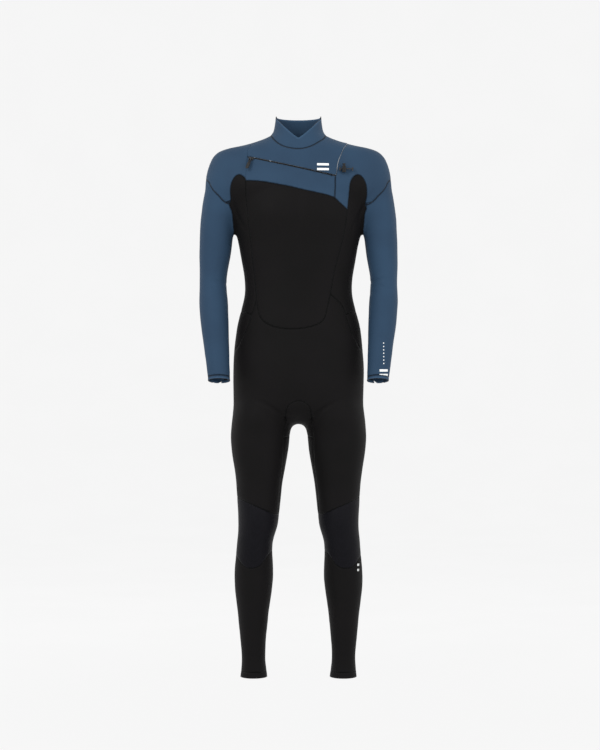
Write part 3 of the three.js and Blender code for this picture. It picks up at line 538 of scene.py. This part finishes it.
def fit_seams(mesh, labels):
    """Slides the seam vertices to midway between the frame's panels, and evens out beside them."""
    members = seam_members(mesh, labels)
    trees = [tree_of([name])[0] for name in PANELS]
    n = normals_of(mesh)
    co = coordinates(mesh)
    for v, found in members.items():
        normal = Vector(n[v])
        p = Vector(co[v])
        for _ in range(6):
            step = Vector()
            for k in found:
                step += trees[k].find_nearest(p)[0] - p
            step /= len(found)
            p += step - normal * step.dot(normal)
        co[v] = p
    chains = seam_chains(mesh, labels)
    for _ in range(SEAM_ROUNDS):
        step = {v: (co[a] + co[b]) / 2 - co[v] for v, (a, b) in chains.items()}
        for v, move in step.items():
            co[v] += 0.5 * (move - n[v] * move.dot(n[v]))
    fixed = np.zeros(len(co), bool)
    fixed[list(members)] = True
    fixed |= open_vertices(mesh)
    pairs = edge_pairs(mesh)
    close = fixed.copy()
    for _ in range(2):
        reach = close[pairs].any(1)
        close[pairs[reach].ravel()] = True
    free = close & ~fixed
    for _ in range(SOFTENING):
        mean = neighbour_mean(co, pairs)
        co[free] += 0.5 * (mean[free] - co[free])
    edges = {}
    for v, found in members.items():
        normal = Vector(n[v])
        p = Vector(co[v])
        for k in found:
            step = trees[k].find_nearest(p)[0] - p
            step -= normal * step.dot(normal)
            edges[v, k] = p + (step if step.length < 3 * MM else Vector())
    write(mesh, co)
    return members, edges


def open_vertices(mesh):
    count = {}
    for p in mesh.polygons:
        for key in p.edge_keys:
            count[key] = count.get(key, 0) + 1
    result = np.zeros(len(mesh.vertices), bool)
    for key, faces in count.items():
        if faces == 1:
            result[list(key)] = True
    return result


FREE_PAIRS = [{"flap_panel", "shoulder_left"}, {"flap_panel", "upper_back"}, {"flap_panel", "zip_band"}]
HIDDEN_PAIRS = [{"flap_panel", "shoulder_right"}, {"zip_band", "shoulder_right"},
                {"flap_panel", "upper_back"}, {"shoulder_right", "upper_back"}]
GROOVE = 0.55 * MM  # how far the seams sink into the skin
GROOVE_REACH = 4 * MM
FREE_LIFT = 1.1 * MM  # how far the flap's free edge stands off
FREE_REACH = 9 * MM
SLIDER_TRAVEL = 0.3456  # radians
LOCK_TRAVEL = 3.5 * MM


class Skin:
    """The fine skin, its panel labels and where its seams run."""

    def __init__(self):
        body = closed_body()
        self.mesh = body.data
        shape_body(self.mesh)
        fit_to_zip(self.mesh)
        trim(self.mesh)
        self.labels = label_faces(self.mesh)
        self.members, self.edges = fit_seams(self.mesh, self.labels)
        self.co = coordinates(self.mesh)
        self.normals = normals_of(self.mesh)
        sewn, free = [], []
        for v, found in self.members.items():
            names = {PANELS[k] for k in found}
            past_hinge = (Vector(self.co[v]) - HINGE_POINT).dot(INTO_FLAP) > HINGE_MARGIN
            if past_hinge and any(pair <= names for pair in FREE_PAIRS):
                free.append(v)
            elif not any(pair == names for pair in HIDDEN_PAIRS):
                sewn.append(v)
        self.free = set(free)
        self.sewn_distance = self.distance_to(sewn)
        self.free_distance = self.distance_to(free)
        rims = np.nonzero(open_vertices(self.mesh))[0]
        self.rim_distance = self.distance_to(rims)
        self.faces = [tuple(p.vertices) for p in self.mesh.polygons]
        bpy.data.objects.remove(body)

    def distance_to(self, verts):
        tree = KDTree(len(verts))
        for v in verts:
            tree.insert(Vector(self.co[v]), int(v))
        tree.balance()
        return np.array([tree.find(Vector(c))[2] for c in self.co])

    def panel(self, name):
        """A sewn panel's outer face, from the skin's faces at one frame panel."""
        wanted = PANELS.index(name)
        chosen = np.nonzero(self.labels == wanted)[0]
        index, verts, source = {}, [], []
        for f in chosen:
            for v in self.faces[f]:
                if v not in index:
                    index[v] = len(verts)
                    verts.append(self.place(v, wanted))
                    source.append(v)
        obj = mesh_object(name + "_skin", verts, [[index[v] for v in self.faces[f]] for f in chosen])
        for layer_name, values in (("seam", self.sewn_distance), ("free_edge", self.free_distance),
                                   ("rim", self.rim_distance)):
            layer = obj.data.attributes.new(layer_name, "FLOAT", "POINT")
            layer.data.foreach_set("value", values[source].astype(np.float32))
        return obj

    def place(self, v, wanted):
        """Where a vertex goes in one panel: sunk at a seam, and lifted at the flap's free edge."""
        p = Vector(self.co[v])
        if v in self.free and wanted in self.members[v]:
            p = self.edges[v, wanted].copy()
        depth = GROOVE * math.exp(-(self.sewn_distance[v] / GROOVE_REACH) ** 2)
        for centre, reach, sunk in DENTS:
            depth += sunk * math.exp(-((p - centre).length / reach) ** 2)
        lift = 0.0
        if wanted == PANELS.index("flap_panel"):
            lift = FREE_LIFT * math.exp(-(self.free_distance[v] / FREE_REACH) ** 2)
        return p + Vector(self.normals[v]) * (lift - depth)


def dents():
    """Where the skin gives way under a fitting at the end of its travel: centre, reach and depth."""
    low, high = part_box("zip_slider")
    angle = float(zip_coordinates(np.array([(low + high) / 2]))[0][0]) + SLIDER_TRAVEL
    lock_low, lock_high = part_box("cord_lock")
    lock = (lock_low + lock_high) / 2 - Vector((LOCK_TRAVEL, 0, 0))
    lock.y = lock_high.y
    return [(zip_place(angle * ZIP_RADIUS, 0, -5 * MM), 12 * MM, 1.3 * MM), (lock, 13 * MM, 1.5 * MM)]


DENTS = dents()
skin = Skin()

# ---- Materials ----


def linear(rgb):
    """A colour given as 0..255 screen values, as the light that Blender mixes."""
    return tuple((c / 255 / 12.92 if c / 255 <= 0.04045 else ((c / 255 + 0.055) / 1.055) ** 2.4)
                 for c in rgb) + (1,)


class Nodes:
    """A small helper that builds a material's nodes."""

    def __init__(self, name):
        self.material = bpy.data.materials.new(name)
        self.material.use_nodes = True
        self.tree = self.material.node_tree
        self.shader = self.tree.nodes["Principled BSDF"]

    def add(self, kind, settings=None, **inputs):
        node = self.tree.nodes.new(kind)
        for key, value in (settings or {}).items():
            setattr(node, key, value)
        for key, value in inputs.items():
            self.put(node.inputs[key.replace("_", " ")], value)
        return node

    def put(self, socket, value):
        if isinstance(value, bpy.types.NodeSocket):
            self.tree.links.new(value, socket)
        else:
            socket.default_value = value

    def math(self, operation, a, b):
        node = self.tree.nodes.new("ShaderNodeMath")
        node.operation = operation
        for socket, value in zip(node.inputs, (a, b)):
            self.put(socket, value)
        return node.outputs[0]

    def mix(self, factor, a, b):
        node = self.tree.nodes.new("ShaderNodeMix")
        node.data_type = "RGBA"
        self.put(node.inputs[0], factor)
        self.put(node.inputs[6], a)
        self.put(node.inputs[7], b)
        return node.outputs[2]

    def attribute(self, name):
        return self.add("ShaderNodeAttribute", {"attribute_name": name}).outputs["Fac"]

    def place(self):
        return self.add("ShaderNodeTexCoord").outputs["Object"]

    def noise(self, scale, detail=3.0, vector=None):
        node = self.add("ShaderNodeTexNoise", Scale=scale, Detail=detail)
        self.put(node.inputs["Vector"], vector or self.place())
        return node.outputs["Fac"]

    def band(self, value, low, high):
        """1 below low, 0 above high, smooth between."""
        node = self.add("ShaderNodeMapRange", {"interpolation_type": "SMOOTHSTEP"})
        for socket, number in zip(node.inputs, (value, low, high, 1.0, 0.0)):
            self.put(socket, number)
        return node.outputs[0]

    def bump(self, height, strength, distance, before=None):
        node = self.add("ShaderNodeBump", Strength=strength, Distance=distance, Height=height)
        if before is not None:
            self.put(node.inputs["Normal"], before)
        return node.outputs[0]

    def finish(self, color, roughness, normal=None, **constants):
        self.put(self.shader.inputs["Base Color"], color)
        self.put(self.shader.inputs["Roughness"], roughness)
        if normal is not None:
            self.put(self.shader.inputs["Normal"], normal)
        for key, value in constants.items():
            self.shader.inputs[key.replace("_", " ")].default_value = value
        return self.material


def box_mask(n, place, low, high, soft=0.0003):
    """1 inside a box of the object's own x and z, 0 outside, in front only."""
    split = n.add("ShaderNodeSeparateXYZ", Vector=place)
    x, y, z = split.outputs
    mask = n.band(y, -0.03, -0.02)
    for value, a, b in ((x, low[0], high[0]), (z, low[1], high[1])):
        mask = n.math("MULTIPLY", mask, n.band(value, b - soft, b + soft))
        mask = n.math("MULTIPLY", mask, n.math("SUBTRACT", 1.0, n.band(value, a - soft, a + soft)))
    return mask


KNIT = 1500.0  # stitches of the jersey, per metre
MARK_COLOR = (236, 238, 236)


def neoprene(name, base, shade, seam_line_and_shade_color, stitch_color, sheen, marks=(), dots=False):
    """Jersey-faced neoprene: fine knit, slow colour drift, sewn seams with stitches and a dark seam line that
    is partly the seam's own colour and partly painted shade of its groove, worn rims.
    """
    n = Nodes(name)
    place = n.place()
    drift = n.noise(9.0, 2.0)
    melange = n.noise(900.0, 2.0)
    color = n.mix(n.band(drift, 0.3, 0.7), linear(base), linear(shade))
    color = n.mix(n.math("MULTIPLY", melange, 0.22), color, linear([c * 0.62 for c in base]))
    seam, rim = n.attribute("seam"), n.attribute("rim")
    wear = n.math("MULTIPLY", n.band(rim, 0.0, 0.006), n.noise(260.0, 3.0))
    color = n.mix(n.math("MULTIPLY", wear, 0.35), color, linear([min(255, c * 1.5 + 22) for c in base]))
    wobble = n.math("MULTIPLY", n.math("SUBTRACT", n.noise(420.0, 1.0), 0.5), 0.0006)
    # The dark seam line: partly the seam's own dark colour, partly painted shade of the seam's groove.
    tape = n.band(n.math("ADD", seam, wobble), 0.0013, 0.0026)
    color = n.mix(n.math("MULTIPLY", tape, 0.85), color, linear(seam_line_and_shade_color))
    wave = n.add("ShaderNodeTexWave", {"wave_type": "BANDS", "bands_direction": "DIAGONAL"}, Scale=330.0,
                 Distortion=0.6, Detail=1.0)
    n.put(wave.inputs["Vector"], place)
    stitch_row = n.math("MULTIPLY", n.band(seam, 0.0032, 0.0036),
                        n.math("SUBTRACT", 1.0, n.band(seam, 0.0024, 0.0028)))
    stitch = n.math("MULTIPLY", stitch_row, n.band(wave.outputs["Fac"], 0.35, 0.6))
    color = n.mix(n.math("MULTIPLY", stitch, 0.8), color, linear(stitch_color))
    for low, high in marks:
        color = n.mix(box_mask(n, place, low, high), color, linear(MARK_COLOR))
    knit_cells = n.add("ShaderNodeTexVoronoi", {"feature": "DISTANCE_TO_EDGE"}, Scale=KNIT)
    n.put(knit_cells.inputs["Vector"], place)
    height = n.math("ADD", n.math("MULTIPLY", knit_cells.outputs["Distance"], 0.6),
                    n.math("MULTIPLY", melange, 0.4))
    normal = n.bump(height, 0.25, 0.0004)
    if dots:
        cells = n.add("ShaderNodeTexVoronoi", {"feature": "F1"}, Scale=260.0, Randomness=0.15)
        n.put(cells.inputs["Vector"], place)
        dot = n.band(cells.outputs["Distance"], 0.25, 0.38)
        color = n.mix(n.math("MULTIPLY", dot, 0.5), color, linear([c * 1.35 + 5 for c in base]))
        normal = n.bump(dot, 0.5, 0.0004, normal)
    normal = n.bump(n.math("ADD", n.math("MULTIPLY", n.band(seam, 0.0, 0.0012), -1.0),
                           n.math("MULTIPLY", stitch, 0.7)), 0.6, 0.0006, normal)
    roughness = n.math("ADD", n.math("MULTIPLY", melange, 0.12), 0.62 if not dots else 0.5)
    return n.finish(color, roughness, normal, Sheen_Weight=sheen, Sheen_Roughness=0.45,
                    Specular_IOR_Level=0.11)


def bar(x0, x1, z0, z1):
    return (x0 * MM, z0 * MM), (x1 * MM, z1 * MM)


FLAP_MARK = [bar(49, 80, -83, -77), bar(49, 80, -96, -90)]
ARM_MARK = [bar(214, 236, -626, -620), bar(214, 236, -638, -632)]
ARM_MARK += [bar(224, 226.5, -606 + 9 * k, -603 + 9 * k) for k in range(7)]
SHIN_MARK = [bar(157, 169, -1144, -1138), bar(157, 169, -1158, -1152)]

# Each look, and the knee's below: base colour, a second tone for the slow drift, the dark seam line (partly
# painted shade of the seam's groove), stitches, sheen.
BLUE_LOOK = ((44, 67, 90), (41, 62, 84), (16, 26, 38), (33, 52, 71), 0.03)
BLACK_LOOK = ((11, 9, 10), (8, 7, 7), (3, 3, 3), (21, 20, 21), 0.01)
BLUE = neoprene("blue_neoprene", *BLUE_LOOK)
BLUE_MARKED = neoprene("blue_neoprene_marked", *BLUE_LOOK, marks=FLAP_MARK + ARM_MARK)
BLACK = neoprene("black_neoprene", *BLACK_LOOK)
BLACK_MARKED = neoprene("black_neoprene_marked", *BLACK_LOOK, marks=SHIN_MARK)
KNEE = neoprene("knee_neoprene", (7, 6, 12), (5, 5, 10), (3, 3, 5), (16, 16, 23), 0.005, dots=True)


def cut_edge(name, rgb):
    """The foam core where neoprene is cut: fine closed cells."""
    n = Nodes(name)
    cells = n.add("ShaderNodeTexVoronoi", {"feature": "F1"}, Scale=2600.0)
    n.put(cells.inputs["Vector"], n.place())
    color = n.mix(cells.outputs["Distance"], linear(rgb), linear([c * 0.6 for c in rgb]))
    return n.finish(color, 0.8, n.bump(cells.outputs["Distance"], 0.6, 0.0003))


GREY_EDGE = cut_edge("cut_edge_grey", (150, 158, 166))
DARK_EDGE = cut_edge("cut_edge_dark", (38, 38, 42))


THREADS = 700.0  # of the woven tape, per metre


def webbing(name, rgb):
    """Woven tape: crossing threads and a soft sheen."""
    n = Nodes(name)
    place = n.place()
    threads = []
    for direction in ("X", "Z"):
        wave = n.add("ShaderNodeTexWave", {"bands_direction": direction}, Scale=THREADS, Distortion=0.4)
        n.put(wave.inputs["Vector"], place)
        threads.append(wave.outputs["Fac"])
    weave = n.math("MULTIPLY", threads[0], threads[1])
    color = n.mix(weave, linear([c * 0.6 for c in rgb]), linear([c * 1.2 + 4 for c in rgb]))
    return n.finish(color, 0.7, n.bump(weave, 0.5, 0.0004), Sheen_Weight=0.15)


def plastic(name, rgb):
    """Moulded acetal: faint flow marks and fine scratches."""
    n = Nodes(name)
    flow = n.noise(160.0, 4.0)
    grain = n.noise(2600.0, 2.0)
    scratch = n.add("ShaderNodeTexWave", {"bands_direction": "DIAGONAL"}, Scale=240.0, Distortion=9.0,
                    Detail=4.0)
    n.put(scratch.inputs["Vector"], n.place())
    worn = n.math("MULTIPLY", n.band(scratch.outputs["Fac"], 0.0, 0.06), 0.35)
    color = n.mix(flow, linear(rgb), linear([c * 1.5 + 4 for c in rgb]))
    color = n.mix(worn, color, linear([c * 1.6 + 4 for c in rgb]))
    rough = n.math("ADD", n.math("MULTIPLY", grain, 0.18), 0.31)
    return n.finish(color, rough, n.bump(grain, 0.12, 0.0002), Specular_IOR_Level=0.3)


def steel(name):
    """Drawn wire: a fine grain and uneven polish."""
    n = Nodes(name)
    grain = n.noise(1800.0, 3.0)
    color = n.mix(grain, linear((160, 163, 168)), linear((110, 112, 118)))
    return n.finish(color, n.math("ADD", n.math("MULTIPLY", grain, 0.25), 0.2), Metallic=1.0)


TAPE = webbing("zip_tape", (22, 22, 25))
PLASTIC = plastic("black_plastic", (9, 9, 10))
STEEL = steel("spring_steel")

# ---- Panels as pieces ----

PANEL_LOOK = {name: (BLACK, "black_neoprene") for name in PANELS}
for name in ("collar", "zip_band", "upper_back", "shoulder_right", "shoulder_left", "sleeve_right",
             "wrist_hem_right", "wrist_hem_left"):
    PANEL_LOOK[name] = (BLUE, "blue_neoprene")
for name in ("flap_panel", "sleeve_left"):
    PANEL_LOOK[name] = (BLUE_MARKED, "blue_neoprene")
PANEL_LOOK["shin_panel_left"] = (BLACK_MARKED, "black_neoprene")
for name in ("knee_pad_right", "knee_pad_left"):
    PANEL_LOOK[name] = (KNEE, "knee_neoprene")

THICKNESS = {"collar": 2.6 * MM, "ankle_hem_right": 4.5 * MM, "ankle_hem_left": 4.5 * MM}
FLAP_BODY = ("collar", "flap_panel")


def bend_flap(obj):
    """Bakes the placement of a piece that crosses the hinge line into its mesh; the piece is joined to no
    body.
    """
    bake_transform(obj)


def thicken(obj, thickness, rim):
    """Gives an outer face its thickness inwards, with the cut foam on its rim."""
    obj.data.materials.append(rim)
    solidify = obj.modifiers.new("thickness", "SOLIDIFY")
    solidify.thickness = thickness
    solidify.offset = -1
    solidify.use_even_offset = False
    solidify.material_offset_rim = 1
    bake(obj)
    for polygon in obj.data.polygons:
        polygon.use_smooth = polygon.material_index == 0


for name in PANELS:
    look, slot = PANEL_LOOK[name]
    panel = skin.panel(name)
    panel.data.materials.append(look)
    thicken(panel, THICKNESS.get(name, WALL), GREY_EDGE if name == "flap_panel" else DARK_EDGE)
    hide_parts(name)
    if name == "flap_panel":
        bend_flap(panel)
    else:
        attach(panel, "entry_flap" if name in FLAP_BODY else "suit")

# ---- Fittings ----


def finish_node(name, material, edge=0.0):
    """Gives a frame node its material and softens its edges."""
    node = NODES[name]
    node.data.materials.clear()
    node.data.materials.append(material)
    if edge:
        bevel = node.modifiers.new("edge", "BEVEL")
        bevel.width = edge
        bevel.segments = 3
        bevel.limit_method = "ANGLE"
        bevel.angle_limit = math.radians(40)


def smooth(obj):
    for polygon in obj.data.polygons:
        polygon.use_smooth = True


def piece(obj, material, slot, body, *nodes):
    """Sets a new piece's finish, its body and the frame nodes that it stands for."""
    obj.data.materials.append(material)
    smooth(obj)
    if nodes:
        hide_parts(*nodes)
    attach(obj, body)
    return obj


def sweep(name, points, radius, sides=10, flat=1.0, normals=None, ripple=0.0, pitch=4):
    """A closed tube along points. flat squeezes it along the normals, and ripple crosses it as a braid."""
    points = [Vector(p) for p in points]
    verts = []
    for i, point in enumerate(points):
        along = (points[min(i + 1, len(points) - 1)] - points[max(i - 1, 0)]).normalized()
        up = Vector(normals[i]) if normals is not None else Vector((0, 0, 1))
        side = along.cross(up).normalized()
        up = side.cross(along)
        for k in range(sides):
            angle = 2 * math.pi * k / sides
            r = radius * (1 + ripple * math.sin(pitch * angle + i) * math.sin(pitch * angle - i))
            verts.append(point + side * math.cos(angle) * r + up * math.sin(angle) * r * flat)
    return mesh_object(name, verts, tube_faces(len(points) - 1, sides))


ZIP_LENGTH = ZIP_ANGLE * ZIP_RADIUS
TAPE_WIDTH = 11.5 * MM
TAPE_DEPTH = -3.4 * MM
TOOTH_PITCH = 2.6 * MM
TOOTH_SIZE = (1.5 * MM, 2.0 * MM, 1.9 * MM)  # along the zip, through it, across it
STOP_ROOM = 5 * MM
PIN_ROOM = 10 * MM


def zip_tape(name, sign):
    """One side's woven tape, with a beaded edge under the teeth."""
    steps, rows = 60, 9
    verts, faces = [], []
    for i in range(steps + 1):
        for k in range(rows + 1):
            share = k / rows
            up = sign * (0.2 * MM + share * TAPE_WIDTH)
            bead = 0.5 * MM * math.exp(-(share / 0.12) ** 2)
            verts.append(zip_place(ZIP_LENGTH * i / steps, TAPE_DEPTH + bead, up))
    for i in range(steps):
        for k in range(rows):
            a = i * (rows + 1) + k
            faces.append((a, a + 1, a + rows + 2, a + rows + 1))
    obj = mesh_object(name, verts, faces)
    thickness = obj.modifiers.new("thickness", "SOLIDIFY")
    thickness.thickness = 0.7 * MM
    thickness.offset = 0
    return bake(obj)


def rounded_box(size, bevel):
    """Vertices and faces of a box with rounded edges, centred on the origin."""
    bm = bmesh.new()
    bmesh.ops.create_cube(bm, size=1.0)
    bmesh.ops.scale(bm, vec=size, verts=bm.verts)
    bmesh.ops.bevel(bm, geom=bm.edges[:], offset=bevel, segments=2, profile=0.7, affect="EDGES")
    verts = [v.co.copy() for v in bm.verts]
    faces = [[v.index for v in f.verts] for f in bm.faces]
    bm.free()
    return verts, faces


def zip_teeth(name, sign):
    """One side's row of moulded teeth, set between the other side's."""
    tooth_verts, tooth_faces = rounded_box(TOOTH_SIZE, 0.35 * MM)
    verts, faces = [], []
    count = int((ZIP_LENGTH - STOP_ROOM - PIN_ROOM) / TOOTH_PITCH)
    for i in range(count):
        along = STOP_ROOM + (i + (0.5 if sign > 0 else 0.0)) * TOOTH_PITCH
        start = len(verts)
        verts += [zip_place(along + v.x, v.y - 1.5 * MM, sign * 1.0 * MM + v.z) for v in tooth_verts]
        faces += [[start + k for k in face] for face in tooth_faces]
    return mesh_object(name, verts, faces)


for sign, side, body in ((-1, "lower", "suit"), (1, "upper", "entry_flap")):
    for make, kind, look, slot in ((zip_tape, "tape", TAPE, "zip_tape"),
                                   (zip_teeth, "teeth", PLASTIC, "black_plastic")):
        row = make(f"zip_{kind}_{side}_fine", sign)
        row.data.materials.append(look)
        smooth(row)
        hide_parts(f"zip_{kind}_{side}")
        if body == "suit":
            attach(row, body)
        else:
            bend_flap(row)


SEAL = [(-13, 108, 98, 0, 4), (-26, 116, 104, 0, 4), (-42, 150, 124, 0, 4)]
SEAL_WALL = 2 * MM


def neck_seal():
    """The inner neck seal: a thin cuff that widens under the shoulders, with a rolled top edge."""
    sides, rings = 72, 18
    verts = []
    for i in range(rings + 1):
        height = SEAL[0][0] + (SEAL[-1][0] - SEAL[0][0]) * i / rings
        width, depth, x, y = section(SEAL, height)
        z = height * MM
        roll = 0.8 * MM * math.exp(-(i / 1.6) ** 2)
        for k in range(sides):
            angle = 2 * math.pi * k / sides
            wave = 0.4 * MM * math.sin(5 * angle) * i / rings
            verts.append((x + math.cos(angle) * (width / 2 + roll),
                          y + math.sin(angle) * (depth / 2 + roll), z + wave))
    obj = mesh_object("neck_seal", verts, tube_faces(rings, sides, caps=False, flip=True))
    for name in ("seam", "free_edge", "rim"):
        layer = obj.data.attributes.new(name, "FLOAT", "POINT")
        layer.data.foreach_set("value", np.full(len(verts), 0.1, np.float32))
    obj.data.materials.append(BLACK)
    thicken(obj, SEAL_WALL, DARK_EDGE)
    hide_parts("neck_barrier")
    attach(obj, "suit")


neck_seal()


def free_edge():
    """The flap's raised edge at the wearer's left, as an ordered line with its normals."""
    names = {"flap_panel", "shoulder_left"}
    flap = PANELS.index("flap_panel")
    chosen = [v for v in skin.free if names <= {PANELS[k] for k in skin.members[v]} and skin.co[v][1] < 0.03]
    order = sorted(chosen, key=lambda v: (skin.co[v][2], skin.co[v][1]))
    points = [Vector(skin.edges[v, flap]) + Vector(skin.normals[v]) * FREE_LIFT for v in order]
    return points, [Vector(skin.normals[v]) for v in order]


def edge_binding():
    """The pale cut edge of the flap, seen as a thin raised line."""
    points, normals = free_edge()
    kept = [0]
    for i in range(1, len(points)):
        if (points[i] - points[kept[-1]]).length > 3 * MM:
            kept.append(i)
    line = [points[i] - normals[i] * 0.6 * MM for i in kept]
    for _ in range(6):
        line[1:-1] = [line[i] / 2 + (line[i - 1] + line[i + 1]) / 4 for i in range(1, len(line) - 1)]
    obj = sweep("flap_edge", line, 1.0 * MM, sides=8, flat=0.7, normals=[normals[i] for i in kept])
    piece(obj, GREY_EDGE, "blue_neoprene", "entry_flap")


edge_binding()


def braided_cord():
    """The short draw cord between its two anchors."""
    low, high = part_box("drawcord")
    middle = (low + high) / 2
    count = 60
    points = [(low.x + (high.x - low.x) * i / count, middle.y, middle.z) for i in range(count + 1)]
    cord = sweep("drawcord_braid", points, (high.z - low.z) / 2, sides=24, ripple=0.10, pitch=3)
    piece(cord, TAPE, "zip_tape", "suit", "drawcord")


braided_cord()


def pull_grip():
    """The hanging pull: a moulded tab with a waist, grip ribs and a raised rim."""
    corners = [Vector(v.co) for v in NODES["pull_tab"].data.vertices]
    centre = sum(corners, Vector()) / len(corners)
    axis = Vector(JOINTS["pull_swing"]["axis"]).normalized()
    pivot = Vector(JOINTS["pull_swing"]["pos_m"])
    down = centre - pivot
    down -= axis * down.dot(axis)
    down.normalize()
    out = axis.cross(down).normalized()
    out *= math.copysign(1, -out.y)
    reach = [(p - pivot).dot(down) for p in corners]
    wide = max(abs((p - pivot).dot(axis)) for p in corners)
    top, foot = min(reach) + 2.6 * MM, max(reach)
    rows, sides = 44, 20
    verts, faces = [], tube_faces(rows, sides)
    for i in range(rows + 1):
        share = i / rows
        s = top + (foot - top) * share
        end = min(1.0, math.sqrt(max(0.0, 1 - max(0.0, (share - 0.86) / 0.14) ** 2)) + 0.02)
        neck = 1 - 0.42 * math.exp(-(share / 0.16) ** 2)
        rib = 0.22 * MM * math.sin(share * 2 * math.pi * 8) * (0.25 < share < 0.85)
        for k in range(sides):
            angle = 2 * math.pi * k / sides
            c, d = math.cos(angle), math.sin(angle)
            half = wide * neck * end
            depth = 1.0 * MM * end + rib * abs(d) + 0.25 * MM * abs(c) ** 4
            across = math.copysign(abs(c) ** 0.6, c) * half
            verts.append(pivot + down * s + axis * across + out * math.copysign(abs(d) ** 0.7, d) * depth)
    ring_centre = pivot + down * (min(reach) + 1.35 * MM)
    ring_verts, ring_faces = torus(ring_centre, axis, 1.35 * MM, 0.42 * MM, 2.2 * MM)
    start = len(verts)
    verts += ring_verts
    faces += [[start + k for k in face] for face in ring_faces]
    piece(mesh_object("pull_grip", verts, faces), PLASTIC, "black_plastic", "puller", "pull_tab")


def torus(centre, axis, radius, wall, half, around=24):
    """A short round sleeve about an axis."""
    side = axis.orthogonal().normalized()
    up = axis.cross(side)
    corners = [(radius - wall, -half), (radius - wall, half), (radius + wall, half), (radius + wall, -half)]
    verts, faces = [], []
    for i in range(around):
        angle = 2 * math.pi * i / around
        direction = side * math.cos(angle) + up * math.sin(angle)
        verts += [centre + direction * r + axis * h for r, h in corners]
    for i in range(around):
        for k in range(4):
            a, b = i * 4 + k, i * 4 + (k + 1) % 4
            c, d = ((i + 1) % around) * 4 + (k + 1) % 4, ((i + 1) % around) * 4 + k
            faces.append((a, b, c, d))
    return verts, faces


pull_grip()

for name in ("cord_anchor_inner", "cord_anchor_outer"):
    finish_node(name, TAPE, 0.5 * MM)
for name in ("zip_top_stop", "zip_box", "zip_pin"):
    finish_node(name, PLASTIC, 0.2 * MM)
for name in ("zip_slider", "pull_link"):
    finish_node(name, PLASTIC, 0.35 * MM)
for name in ("cord_lock", "lock_button"):
    finish_node(name, PLASTIC, 0.6 * MM)


def lock_coil():
    """The lock's spring: a wire coil that fills the frame spring's box."""
    low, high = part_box("lock_spring")
    middle, half = (low + high) / 2, (high - low) / 2
    press = Vector(JOINTS["button_press"]["axis"]).normalized()
    side = press.orthogonal().normalized()
    up = press.cross(side)
    reach, wire, turns, steps = abs(half.dot(press)), 0.25 * MM, 5, 20
    radius = min(abs(half.dot(side)), abs(half.dot(up))) - wire
    points = []
    for i in range(turns * steps + 1):
        angle = 2 * math.pi * i / steps
        along = (2 * i / (turns * steps) - 1) * (reach - wire)
        points.append(middle + press * along + (side * math.cos(angle) + up * math.sin(angle)) * radius)
    obj = piece(sweep("lock_coil", points, wire, sides=8), STEEL, "spring_steel", "lock", "lock_spring")
    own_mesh(obj)


lock_coil()

# ---- Floor and light ----

FLOOR_Z = ANKLE_Z - 80 * MM
UNDER_LIGHT = 0.925  # given off by the floor under the suit, which takes no other light
AROUND_LIGHT = 0.80  # given off by the rest, to which the lamps add a little
UNDER_REACH = (0.5, 1.8)


def backdrop():
    """A pale floor that curves up into a wall all round, past the lights and the camera."""
    flat, radius, rise, around = 5.0, 3.0, 9.0, 96
    profile = [(0.4 * k, 0.0) for k in range(1, 13)]
    for k in range(17):
        angle = math.pi / 2 * k / 16
        profile.append((flat + radius * math.sin(angle), radius - radius * math.cos(angle)))
    profile.append((flat + radius, rise))
    verts = [(0, 0, FLOOR_Z)]
    for reach, z in profile:
        for k in range(around):
            angle = 2 * math.pi * k / around
            verts.append((reach * math.cos(angle), reach * math.sin(angle), FLOOR_Z + z))
    faces = [(0, 1 + k, 1 + (k + 1) % around) for k in range(around)]
    for i in range(len(profile) - 1):
        for k in range(around):
            low, high = 1 + i * around, 1 + (i + 1) * around
            faces.append((low + k, high + k, high + (k + 1) % around, low + (k + 1) % around))
    obj = mesh_object("backdrop", verts, faces)
    smooth(obj)
    n = Nodes("backdrop")
    flat_place = n.add("ShaderNodeVectorMath", {"operation": "MULTIPLY"})
    n.put(flat_place.inputs[0], n.place())
    flat_place.inputs[1].default_value = (1, 1, 0)
    reach = n.add("ShaderNodeVectorMath", {"operation": "LENGTH"})
    n.put(reach.inputs[0], flat_place.outputs[0])
    under = n.band(reach.outputs["Value"], *UNDER_REACH)
    grain = n.mix(n.noise(3.0, 2.0), (0.11, 0.11, 0.11, 1), (0.13, 0.13, 0.13, 1))
    n.put(n.shader.inputs["Emission Color"],
          n.mix(under, (AROUND_LIGHT,) * 3 + (1,), (UNDER_LIGHT,) * 3 + (1,)))
    n.shader.inputs["Emission Strength"].default_value = 1.0
    obj.data.materials.append(n.finish(n.mix(under, grain, (0, 0, 0, 1)), 0.95, Specular_IOR_Level=0.0))


def softbox(name, location, target, size, power):
    """A rectangular light turned to a target."""
    data = bpy.data.lights.new(name, "AREA")
    data.shape = "RECTANGLE"
    data.size, data.size_y = size
    data.energy = power
    light = bpy.data.objects.new(name, data)
    bpy.context.scene.collection.objects.link(light)
    light.location = location
    light.rotation_euler = (Vector(target) - Vector(location)).to_track_quat("-Z", "Y").to_euler()


backdrop()
softbox("key", (-2.2, -3.2, 1.6), (0, 0, -0.5), (1.8, 2.6), 74)
softbox("fill", (2.6, -3.0, 0.6), (0, 0, -0.7), (2.2, 2.8), 44)
softbox("back_left", (-2.4, 1.6, 1.0), (0, 0, -0.5), (1.0, 2.4), 12)
softbox("back_right", (2.4, 1.6, 1.0), (0, 0, -0.5), (1.0, 2.4), 12)
world = bpy.data.worlds.new("studio")
world.use_nodes = True
world.node_tree.nodes["Background"].inputs["Color"].default_value = (1, 1, 1, 1)
world.node_tree.nodes["Background"].inputs["Strength"].default_value = 0.9
bpy.context.scene.world = world
